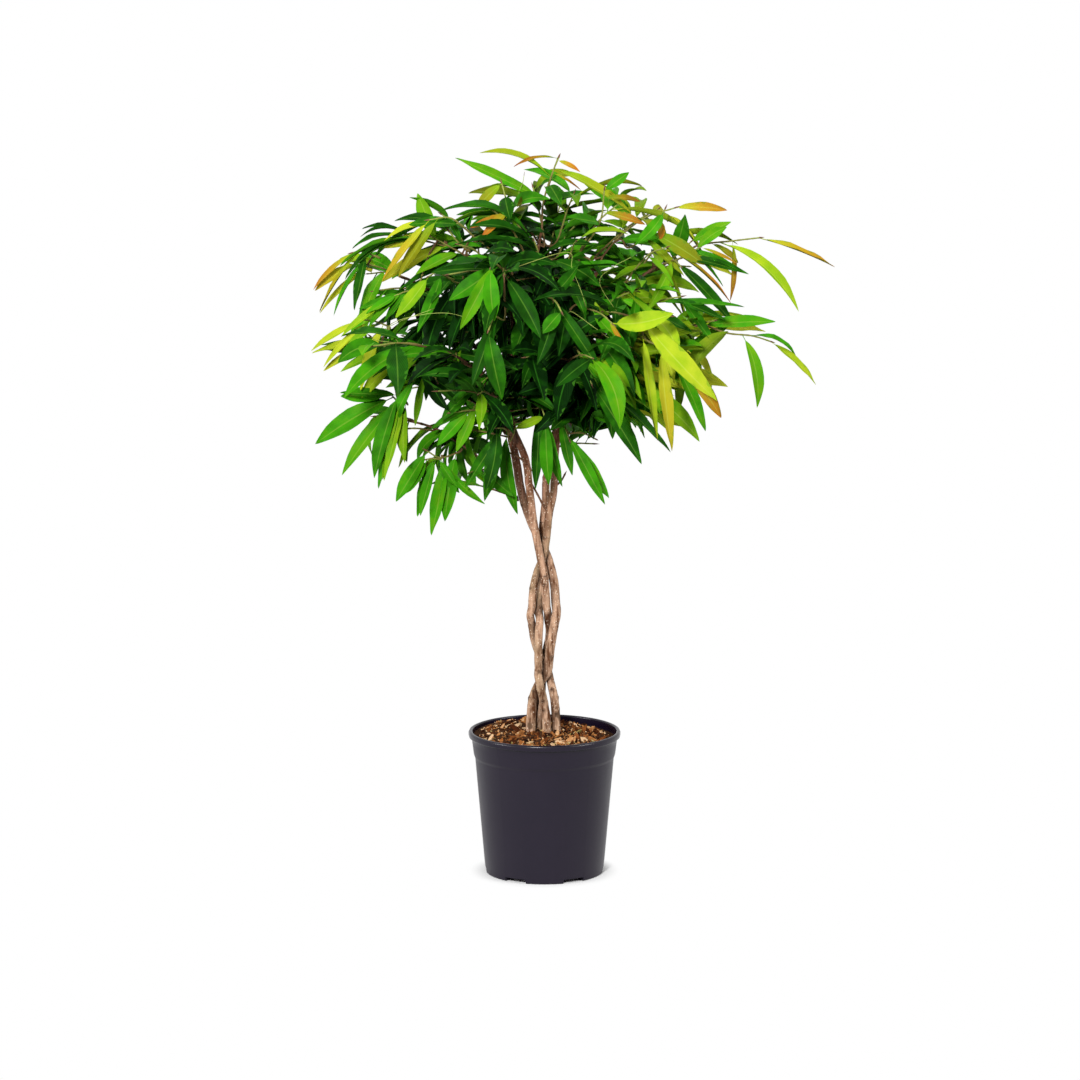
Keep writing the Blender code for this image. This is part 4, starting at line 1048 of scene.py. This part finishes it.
def leaf_section(u, bend, wave, twist, sweep):
    """The points round a leaf at a share of its length, for a leaf one unit long and one unit wide."""
    blade = max(0.0, (u - PETIOLE) / (1 - PETIOLE))
    stalk = u < 0.1
    half = max(leaf_half_width(blade), STALK_HALF_WIDTH if u > 0.02 else STALK_FOOT)
    thick = STALK_THICK if stalk else TIP_THICK * (2 - blade)
    turn = math.radians(twist) * blade
    arch = 4 * u * (1 - u)
    section = []
    for k, share in enumerate(AROUND):
        aside = share * half
        lift = 0.0
        if not stalk:
            lift = FOLD * abs(aside) / LEAF_ASPECT - 0.1 * aside * aside / LEAF_ASPECT
            lift += wave * 0.22 * share * abs(share) * math.sin(math.tau * (2.6 * u + 0.31 * k + twist / 20))
        face = 1 if k in (1, 2, 3) else -1 if k > 4 else 0
        lift += thick * face * (1.5 if share == 0 else 1.0)
        across = aside * math.cos(turn) - lift * LEAF_ASPECT * math.sin(turn)
        up = lift * math.cos(turn) + aside / LEAF_ASPECT * math.sin(turn)
        section.append((u, across + sweep * arch, math.tan(bend / 4) / 2 * arch + up))
    return section


def leaf_form(name, bend, wave, twist, sweep):
    """A leaf for the trees to repeat: blade, stalk, map and which faces are its under side."""
    points = [p for u in LEAF_STATIONS for p in leaf_section(u, bend, wave, twist, sweep)]
    points.append((1.0, 0.0, 0.0))
    across = [0.5 + 0.5 * share for share in AROUND]
    faces, uvs, under = [], [], []
    stations = (*LEAF_STATIONS, 1.0)
    for ring, (low, high) in enumerate(zip(stations, stations[1:])):
        for k in range(8):
            a, b = ring * 8 + k, ring * 8 + (k + 1) % 8
            left, right = across[k], across[(k + 1) % 8]
            if high < 1:
                faces.append((a, a + 8, b + 8, b))
                uvs.append(((left, low), (left, high), (right, high), (right, low)))
            else:
                faces.append((a, len(points) - 1, b))
                uvs.append(((left, low), (0.5, high), (right, low)))
            under.append(float(k >= 4))
    faces.append(tuple(range(8)))
    uvs.append(tuple((a, 0.0) for a in across))
    under.append(0.0)
    mesh = mesh_of(name, points, faces)
    layer = mesh.uv_layers.new(name="LeafMap")
    layer.data.foreach_set("uv", [number for face in uvs for corner in face for number in corner])
    store(mesh, "under", "FLOAT", under, "FACE")
    smoothed(mesh, 60)
    return bpy.data.objects.new(name, mesh)


def leaf_tree():
    """The points of its carrier hold form, turn and size, and youth with its painted light and shade, and
    blush, pass through to the leaves.
    """
    t = Scatter("leaf_spray")
    t.finish(t.given["Geometry"], t.named("form", "INT"), t.named("turn", "QUATERNION"),
             t.named("size", "FLOAT_VECTOR"))
    return t


def chip_form(name, seed):
    """A torn splinter or flake of bark, about a centimetre long."""
    rng = random.Random(seed)
    shape = bmesh.new()
    bmesh.ops.create_icosphere(shape, subdivisions=1, radius=0.5)
    long, wide, thick = rng.uniform(0.010, 0.016), rng.uniform(0.004, 0.008), rng.uniform(0.0018, 0.0035)
    for v in shape.verts:
        v.co += Vector([rng.uniform(-0.10, 0.10) for _ in range(3)])
        v.co = Vector((v.co.x * long, v.co.y * wide, v.co.z * thick))
        v.co.z += 3.5 * v.co.x * v.co.x * rng.uniform(0.5, 2)
    mesh = bpy.data.meshes.new(name)
    shape.to_mesh(mesh)
    shape.free()
    return bpy.data.objects.new(name, mesh)


def chip_tree():
    """Chips of random forms, tones, tilts and sizes, scattered over the heap."""
    t = Scatter("chip_scatter", ("Density", "Float"), ("Seed", "Int"), ("Smallest", "Float"),
                ("Largest", "Float"))
    spots = t.add("GeometryNodeDistributePointsOnFaces", {
        "Mesh": t.given["Geometry"], "Density": t.given["Density"], "Seed": t.given["Seed"]})
    tone = t.add("FunctionNodeRandomValue", {"Seed": 3}, data_type="FLOAT").outputs[1]
    toned = t.add("GeometryNodeStoreNamedAttribute", {
        "Geometry": spots.outputs["Points"], "Name": "tone", "Value": tone}, data_type="FLOAT")
    tilt = t.add("FunctionNodeRandomValue", {
        "Min": (-1.2, -1.0, 0.0), "Max": (1.2, 1.0, 6.28), "Seed": 8}, data_type="FLOAT_VECTOR").outputs[0]
    # its sockets 2 and 3 are the least and most for a number, and 4 and 5 those for a whole number
    size = t.add("FunctionNodeRandomValue", {
        2: t.given["Smallest"], 3: t.given["Largest"], "Seed": 4}, data_type="FLOAT").outputs[1]
    pick = t.add("FunctionNodeRandomValue", {4: 0, 5: CHIP_FORMS - 1, "Seed": 9}, data_type="INT").outputs[2]
    t.finish(toned.outputs[0], pick, tilt, size)
    return t


def kept_apart(name, shapes):
    """A collection that isn't in the scene, for the shapes that a tree repeats."""
    kept = bpy.data.collections.new(name)
    for shape in shapes:
        kept.objects.link(shape)
    return kept


# ---- the plant's pieces
class Plant:
    """Makes the plant's pieces from the materials and leaf forms that they share."""

    def __init__(self):
        self.leaf, self.twig, self.bark = leaf_material(), twig_material(), bark_material()
        kinds = [(bend, *form) for bend in LEAF_BENDS for form in FORMS]
        forms = [leaf_form(f"leaf_{k:02d}", *kind) for k, kind in enumerate(kinds)]
        self.forms = kept_apart("leaf_forms", forms)
        self.tree = leaf_tree()

    def foliage(self, name, leaves, *solids):
        """One object of leaves."""
        mesh = mesh_of(f"{name}_points", [row.leaf.seat for row in leaves], [])
        turns, sizes, kinds = [], [], []
        for leaf, _, _, form in leaves:
            turns += list(Matrix((leaf.forward, leaf.left, leaf.normal)).transposed().to_quaternion())
            sizes += [leaf.chord.length, leaf.width, leaf.chord.length]
            kinds.append(len(FORMS) * LEAF_BENDS.index(leaf.bend) + form)
        store(mesh, "turn", "QUATERNION", turns)
        store(mesh, "size", "FLOAT_VECTOR", sizes)
        store(mesh, "form", "INT", kinds)
        # leaf age mixed with painted light and shade, for the leaf's colour
        store(mesh, "youth", "FLOAT", [row.youth for row in leaves])
        store(mesh, "blush", "FLOAT", [row.blush for row in leaves])
        made = self.tree.grown(name, mesh, {"Forms": self.forms, "Material": self.leaf})
        for label in ("turn", "size", "form"):
            if label in made.data.attributes:
                made.data.attributes.remove(made.data.attributes[label])
        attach(made, "root")
        if solids:
            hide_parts(*solids)

    def stem(self, name, route, others):
        """One stem: leaf-scar rings, knots, an uneven round section, and painted shade where it meets the
        others.
        """
        near_by = lookup(others)
        rng = random.Random(name)
        route = spaced(route, FINE_STEM_STEP)
        radii = [stem_radius(STEMS[name][0], p.z) for p in route]
        scars, tones = [1.0] * len(route), [0.0] * len(route)
        following = rng.uniform(4, 8)
        while following < len(route) - 3:
            i = int(following)
            for offset, swell in ((-1, 0.01), (0, 0.03), (1, 0.01)):
                scars[i + offset] += swell
            tones[i + 1] = rng.uniform(0.0, 0.3)
            following += rng.uniform(5, 16)
        shape = Shape()
        shape.tube(route, [r * s for r, s in zip(radii, scars)], STEM_SIDES, tones)
        knots = [(rng.randrange(8, len(route) - 8), rng.uniform(0, math.tau), rng.uniform(0.10, 0.26))
                 for _ in range(KNOTS)]
        phase = rng.uniform(0, 50)
        for ring, place in enumerate(route):
            for i in range(STEM_SIDES):
                k = ring * STEM_SIDES + i
                angle = math.tau * i / STEM_SIDES
                grow = 1 + 0.07 * noise.noise(on_circle(1, angle, place.z * 14 + phase))
                grow += 0.05 * noise.noise(on_circle(3, angle, place.z * 90 + phase))
                for at, bearing, size in knots:
                    along_stem = (ring - at) * FINE_STEM_STEP / radii[ring]
                    round_stem = math.remainder(angle - bearing, math.tau)
                    near = math.exp(-(along_stem ** 2 / 0.25 + round_stem ** 2 / 0.30))
                    if near > 0.02:
                        grow += size * near
                        shape.tone[k] = max(shape.tone[k], 0.9 * near if near > 0.45 else 0.0)
                shape.points[k] = place + (shape.points[k] - place) * grow
                # painted shade: points close to another stem get a dark tone
                clear = near_by.find(shape.points[k])[2] - radii[ring]
                shape.tone[k] = max(shape.tone[k], clamped(1 - clear / CREVICE_SHADE) ** 1.3)
        made = shape.object(name.replace("_stem", "_braided_stem"), self.bark, 50)
        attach(made, "root")
        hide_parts(name)

    def limb(self, name, route):
        """One branch, flared where it leaves its stem."""
        route = [route[0], *smooth_route(route[1:], FINE_BRANCH_STEP)]
        radii = [between(BRANCH_RADII, i / (len(route) - 1)) for i in range(len(route))]
        radii[0] *= 1.5
        radii[1] *= 1.15
        swell_scars(route, radii, random.Random(name), 0.016, 0.16)
        shape = Shape()
        shape.tube(route, radii, BRANCH_SIDES, [0.30 * i / len(route) for i in range(len(route))])
        made = shape.object(f"{name}_limb", self.twig, 60)
        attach(made, "root")
        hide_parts(f"{name}_branch")

    def twigs(self, name, routes, sides=8, thick=1.1, tone=0.35):
        """Twigs, thick times the part's, that turn greener from this tone on and end in a pointed bud."""
        shape = Shape()
        for route in routes:
            rng = random.Random(round(route[0].x * 1e5))
            fine = smooth_route(route, FINE_TWIG_STEP)
            count = len(fine)
            radii = [thick * between(SHOOT_RADII, i / count) for i in range(count)]
            swell_scars(fine, radii, rng, 0.014, 0.2)
            tones = [tone + 0.5 * i / count for i in range(count)]
            end, forward = fine[-1], (fine[-1] - fine[-2]).normalized()
            bud = rng.uniform(0.008, 0.014)
            for share, radius in ((0.25, 1.25), (0.55, 0.9), (1.0, 0.15)):
                fine.append(end + forward * bud * share)
                radii.append(thick * SHOOT_RADII[1] * radius)
                tones.append(BUD_TONE)
            shape.tube(fine, radii, sides, tones)
        made = shape.object(name, self.twig, 60)
        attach(made, "root")


def swell_scars(route, radii, rng, spacing, swell):
    """Thickens a route's radii where old leaves have left their scars."""
    walked, following = 0.0, rng.uniform(0.5, 1.2) * spacing
    for i in range(1, len(route)):
        walked += (route[i] - route[i - 1]).length
        if walked > following:
            following += rng.uniform(0.6, 1.4) * spacing
            radii[i] *= 1 + swell


def fill_starts(name, carrier, rng):
    """(place, carrier's direction, bearing, how far out) of the finer shoots on a branch or upper stem."""
    starts = []
    if name in BRANCHES:
        for i, share in enumerate(FILL_ON_BRANCH):
            turn = (-1, 1)[i % 2] * rng.uniform(30, 85)
            starts.append((*along(carrier, share), BRANCHES[name][2] + turn, 0.0030))
    else:
        for i, height in enumerate(FILL_ON_STEM):
            if height < carrier[-1].z - 0.01:
                radius = stem_radius(STEMS[name][0], height)
                starts.append((*at_height(carrier, height), rng.uniform(0, 60) + 137 * i, radius))
    return starts


def grow_fill(plant, name, carrier, shown, rng):
    """Short side shoots with leaves, in one piece of leaves and one of twigs."""
    routes, leaves = [], []
    for place, forward, bearing, radius in fill_starts(name, carrier, rng):
        heading = on_circle(1, math.radians(bearing))
        out = square_to(heading + UP * 0.35, forward)
        length = rng.uniform(0.05, 0.105)
        routes.append(grown_route(place + out * radius * 0.8, out, heading, length, rng.uniform(0.05, 0.3)))
        leaves += shown.among(more_leaves(routes[-1], rng, rng.randint(6, 10), 0.9), rng)
    plant.foliage(f"{name}_fill_leaves", leaves)
    plant.twigs(f"{name}_fill_twigs", routes, sides=6)


def make_plant():
    """Stems, branches and shoots where the part has them, and then what only the looks have."""
    drawn = {name: smooth_route(metres(points), 0.005) for name, (_, points) in STEMS.items()}
    eased = ease_apart(drawn)
    stems = {name: spaced(route, STEM_STEP) for name, route in eased.items()}
    branches = {name: branch_route(stems, spec) for name, spec in BRANCHES.items()}
    shoots = grow_shoots(stems, branches)
    carriers = [*branches.values(), *stems.values(), *shoots.values()]

    plant = Plant()
    for name, route in eased.items():
        others = [p for other, points in eased.items() if other != name
                  for p in spaced(points, FINE_STEM_STEP)]
        plant.stem(name, route, others)
    for name, route in branches.items():
        plant.limb(name, route)

    # the listed leaves come first, so that the rest can keep clear of them
    hand = random.Random(7)
    laid = {name: laid_leaves(shoots[name], 0.0, rows, 0.0, hand) for name, (*_, rows) in OUTLIERS.items()}
    sprays = {name: spray_route(metres(points), carriers) for name, (points, _) in SPRAYS.items()}
    for name, (route, reach) in sprays.items():
        laid[name] = laid_leaves(route, reach, SPRAYS[name][1], 0.2, hand)
    shown = Shown(row.leaf for rows in laid.values() for row in rows)

    # the part's own shoots, each with its leaves, which plan draws as the part does, and more between them
    plan, rng = random.Random(11), random.Random(23)
    for name, route in shoots.items():
        if name in OUTLIERS:
            leaves, extra = laid[name], EXTRA_LEAVES.get(name, 3)
        else:
            leaves = [tinted(leaf, share, rng) for share, leaf in rule_leaves(route, plan)]
            extra = 4
        more = shown.among(more_leaves(route, rng, extra), rng)
        plant.foliage(f"{name}_leaves", leaves + more, f"{name}_shoot")
        plant.twigs(f"{name}_twig", [route])

    # finer shoots that only the looks have
    for name, carrier in [*branches.items(), *stems.items()]:
        grow_fill(plant, name, carrier, shown, rng)
    for name, (route, _) in sprays.items():
        plant.foliage(f"{name}_leaves", laid[name])
        plant.twigs(f"{name}_twig", [route])
    routes, leaves = [], []
    for points in CREST:
        routes.append(joined_route(metres(points), carriers))
        outer = routes[-1][len(routes[-1]) // 3:]
        leaves += shown.among(more_leaves(outer, rng, 10, 0.8), rng)
    plant.foliage("crest_leaves", leaves)
    plant.twigs("crest_twigs", routes)
    snags = [joined_route(metres(points), carriers) for points in SNAGS]
    plant.twigs("snags", snags, thick=1.3, tone=0.0)
    strands = [joined_route(metres(points), carriers) for points in STRANDS]
    plant.twigs("strands", strands, sides=6, thick=0.38, tone=0.7)


# ---- pot
def wall_radius(height):
    """The wall's inner radius at a height over the floor, up to the lip."""
    if height <= STEP_FOOT:
        return between((BODY_FOOT_RADIUS, BODY_TOP_RADIUS), height / STEP_FOOT) - WALL
    share = max(0.0, (height - STEP_TOP) / (POT_HEIGHT - LIP_HEIGHT - STEP_TOP))
    return between((BAND_FOOT_RADIUS, BAND_TOP_RADIUS), share) - WALL


def rounded(corner, before, after, radius):
    """Points that round a profile's corner off."""
    c, a, b = (Vector((*p, 0)) for p in (corner, before, after))
    start = c + (a - c).normalized() * radius
    end = c + (b - c).normalized() * radius
    shares = [i / 5 for i in range(6)]
    return [tuple(((1 - t) ** 2 * start + 2 * t * (1 - t) * c + t * t * end)[:2]) for t in shares]


def pot_profile():
    """(radius, height) along the section, from under the base, up outside and down to the floor inside."""
    lip_low, lip_in = POT_HEIGHT - LIP_HEIGHT, LIP_RADIUS - LIP_WIDTH
    floor, inner_foot = FOOT_HEIGHT + WALL, BODY_FOOT_RADIUS - FOOT_WIDTH
    corners = [  # radius, height, how far it is rounded
        (CENTRE_FOOT_RADIUS, 0, 0.001), (CENTRE_FOOT_RADIUS + 0.002, FOOT_HEIGHT, 0.001),
        (inner_foot - 0.002, FOOT_HEIGHT, 0.001), (inner_foot, 0, 0.001), (BODY_FOOT_RADIUS, 0, 0.0035),
        (BODY_TOP_RADIUS, STEP_FOOT, 0.0012), (BAND_FOOT_RADIUS, STEP_TOP, 0.0012),
        (BAND_TOP_RADIUS, lip_low, 0.0008), (LIP_RADIUS, lip_low, 0.0028), (LIP_RADIUS, POT_HEIGHT, 0.0042),
        (lip_in, POT_HEIGHT, 0.0030), (wall_radius(lip_low), lip_low - 0.002, 0.001),
        (wall_radius(STEP_TOP), STEP_TOP, 0.001), (wall_radius(STEP_FOOT), STEP_FOOT, 0.001),
        (wall_radius(floor), floor, 0.002)]
    places = [(0.0, 0.0), *(corner[:2] for corner in corners), (0.0, floor)]
    profile = []
    for before, (radius, height, round_off), after in zip(places, corners, places[2:]):
        profile += rounded((radius, height), before, after, round_off)
    fine, longest = [profile[0]], 0.02
    for a, b in zip(profile, profile[1:]):
        pieces = max(1, math.ceil(math.dist(a, b) / longest))
        fine += [tuple(between(pair, k / pieces) for pair in zip(a, b)) for k in range(1, pieces + 1)]
    return fine


def make_pot():
    """The pot, turned round its axis, with a notch in the foot between each two feet."""
    inner_foot = BODY_FOOT_RADIUS - FOOT_WIDTH
    span = math.tau / FEET - 2.1 * NOTCH_HALF_ANGLE
    steps = 22  # from one notch to the next
    spokes = []  # (bearing, whether it is in a notch)
    for foot in range(FEET):
        centre = math.tau * (foot + 0.5) / FEET - math.pi / 2
        for edge in (-1.05, -1.0, -0.9, 0.0, 0.9, 1.0, 1.05):
            spokes.append((centre + NOTCH_HALF_ANGLE * edge, abs(edge) <= 1))
        spokes += [(centre + 1.05 * NOTCH_HALF_ANGLE + span * k / steps, False) for k in range(1, steps)]
    profile = pot_profile()
    points = [Vector((0, 0, 0))]
    for radius, height in profile:
        for bearing, notched in spokes:
            cut = notched and radius > inner_foot - 0.0025
            points.append(on_circle(radius, bearing, max(height, FOOT_HEIGHT) if cut else height))
    points.append(Vector((0, 0, FOOT_HEIGHT + WALL)))
    mesh = mesh_of("nursery_pot", points, turned_faces(len(profile), len(spokes)))
    made = finished(mesh, pot_material(), 30)
    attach(made, "root")
    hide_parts("pot")


# ---- potting mix
def soil_height(x, y):
    """The heap: flat-topped and lumpy, falling to the wall except at the back left, where it leans on it."""
    radius, bearing = math.hypot(x, y), math.atan2(y, x)
    share = radius / (wall_radius(SOIL_EDGE) - GAP)
    height = SOIL_EDGE - SETTLED + (SOIL_CROWN - SOIL_EDGE) * (1 - share ** 2)
    height += TILT_HEIGHT * min(1.0, share * 1.6) * (1 - share ** 4) * math.cos(bearing - TILT_BEARING)
    height += LEAN_HEIGHT * share ** 2 * max(0.0, math.cos(bearing - LEAN_BEARING)) ** 2
    lumps = sum(noise.noise(Vector((x * often, y * often, layer))) * size for often, layer, size in LUMPS)
    return height + lumps * (1 - share ** 6)


def soil_ring(radius, sides, raised=0.0):
    """A ring of points on the heap, or raised over it."""
    ring = [on_circle(radius, math.tau * i / sides) for i in range(sides)]
    return [Vector((x, y, soil_height(x, y) + raised)) for x, y, _ in ring]


def make_mix():
    """The heap of potting mix, down to the pot's floor, with bark chips lying on it."""
    edge = wall_radius(SOIL_EDGE) - GAP
    floor = FOOT_HEIGHT + WALL + GAP
    outline = [(wall_radius(floor) - 0.002, floor), (wall_radius(STEP_FOOT) - GAP, STEP_FOOT),
               (wall_radius(STEP_TOP) - GAP, STEP_TOP)]
    points = [Vector((0, 0, floor))]
    for radius, height in outline:
        points += [on_circle(radius, math.tau * i / SOIL_SIDES, height) for i in range(SOIL_SIDES)]
    for ring in range(SOIL_RINGS):
        points += soil_ring(edge * (1 - ring / SOIL_RINGS), SOIL_SIDES)
    points.append(Vector((0, 0, soil_height(0, 0))))
    mesh = mesh_of("potting_mix_mound", points, turned_faces(SOIL_RINGS + len(outline), SOIL_SIDES))
    mound = finished(mesh, soil_material(), 80)
    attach(mound, "root")
    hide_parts("potting_mix")

    forms = kept_apart("chip_forms", [chip_form(f"chip_{k}", 100 + k) for k in range(CHIP_FORMS)])
    material, tree = chip_material(), chip_tree()
    for name, inset, density, seed, smallest, largest in CHIPS:
        chips = tree.grown(name, mound_top(f"{name}_bed", edge - inset), {
            "Forms": forms, "Material": material, "Density": density, "Seed": seed, "Smallest": smallest,
            "Largest": largest})
        chips.data.shade_flat()
        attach(chips, "root")


def mound_top(name, reach):
    """The heap's upper surface out to a radius, for chips to lie on."""
    sides, steps, inner = 48, 13, 0.006
    corners, quads = [], []
    for step in range(steps + 1):
        corners += soil_ring(between((inner, reach), step / steps), sides, CHIP_LIFT)
    for low in range(0, steps * sides, sides):
        for i in range(sides):
            j = (i + 1) % sides
            quads.append((low + i, low + sides + i, low + sides + j, low + j))
    return mesh_of(name, corners, quads)


# ---- floor, light and camera
def make_floor():
    """A pale floor that keeps the plant's shadow and turns pure white a little way out."""
    material = bpy.data.materials.new("floor")
    n = Nodes(material)
    feed(n.tree, n.shader.inputs["Base Color"], (0.95, 0.95, 0.95))
    feed(n.tree, n.shader.inputs["Roughness"], 0.9)
    away = n.add("ShaderNodeVectorMath", operation="LENGTH")
    feed(n.tree, away.inputs[0], n.place())
    distant = n.ramp(n.maths("DIVIDE", away.outputs["Value"], 2.0), (0.048, 0.0), (0.068, 1.0), smooth=True)
    n.cover(n.maths("MULTIPLY", distant, n.seen()), n.add("ShaderNodeEmission", Color=(1, 1, 1)))
    sides = 64
    rim = [on_circle(FLOOR_RADIUS, math.tau * i / sides) for i in range(sides)]
    mesh = mesh_of("floor", rim, [tuple(range(sides))])
    mesh.materials.append(material)
    added("floor", mesh)


def turned_to(made, place, aim):
    """Puts a lamp or the camera in its place, looking at its aim."""
    made.location = place
    made.rotation_mode = "QUATERNION"
    made.rotation_quaternion = (aim - Vector(place)).to_track_quat("-Z", "Y")


def studio():
    """The floor, a white world that gives little light, the lamps and the camera."""
    scene = bpy.context.scene
    make_floor()
    scene.world = bpy.data.worlds.new("studio")
    n = Nodes(scene.world)
    feed(n.tree, n.shader.inputs["Color"], (1, 1, 1))
    feed(n.tree, n.shader.inputs["Strength"], SKY_STRENGTH)
    n.cover(n.seen(), n.add("ShaderNodeBackground", Color=(1, 1, 1), Strength=1.0))

    for name, place, size, power in LAMPS:
        lamp = bpy.data.lights.new(name, "AREA")
        lamp.shape, lamp.size, lamp.energy = "DISK", size, power
        turned_to(added(name, lamp), place, LAMP_TARGET)

    lens = bpy.data.cameras.new("camera")
    lens.sensor_width, lens.lens = SENSOR_WIDTH, LENS
    scene.camera = added("camera", lens)
    turned_to(scene.camera, EYE, VIEW_TARGET)
    scene.view_settings.view_transform = "Standard"


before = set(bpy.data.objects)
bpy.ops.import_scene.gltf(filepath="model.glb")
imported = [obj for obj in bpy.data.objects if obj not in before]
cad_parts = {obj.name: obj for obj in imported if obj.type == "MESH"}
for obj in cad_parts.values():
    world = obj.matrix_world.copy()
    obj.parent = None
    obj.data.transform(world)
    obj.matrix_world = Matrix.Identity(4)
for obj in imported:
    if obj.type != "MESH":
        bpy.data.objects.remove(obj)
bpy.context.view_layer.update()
make_plant()
make_pot()
make_mix()
studio()
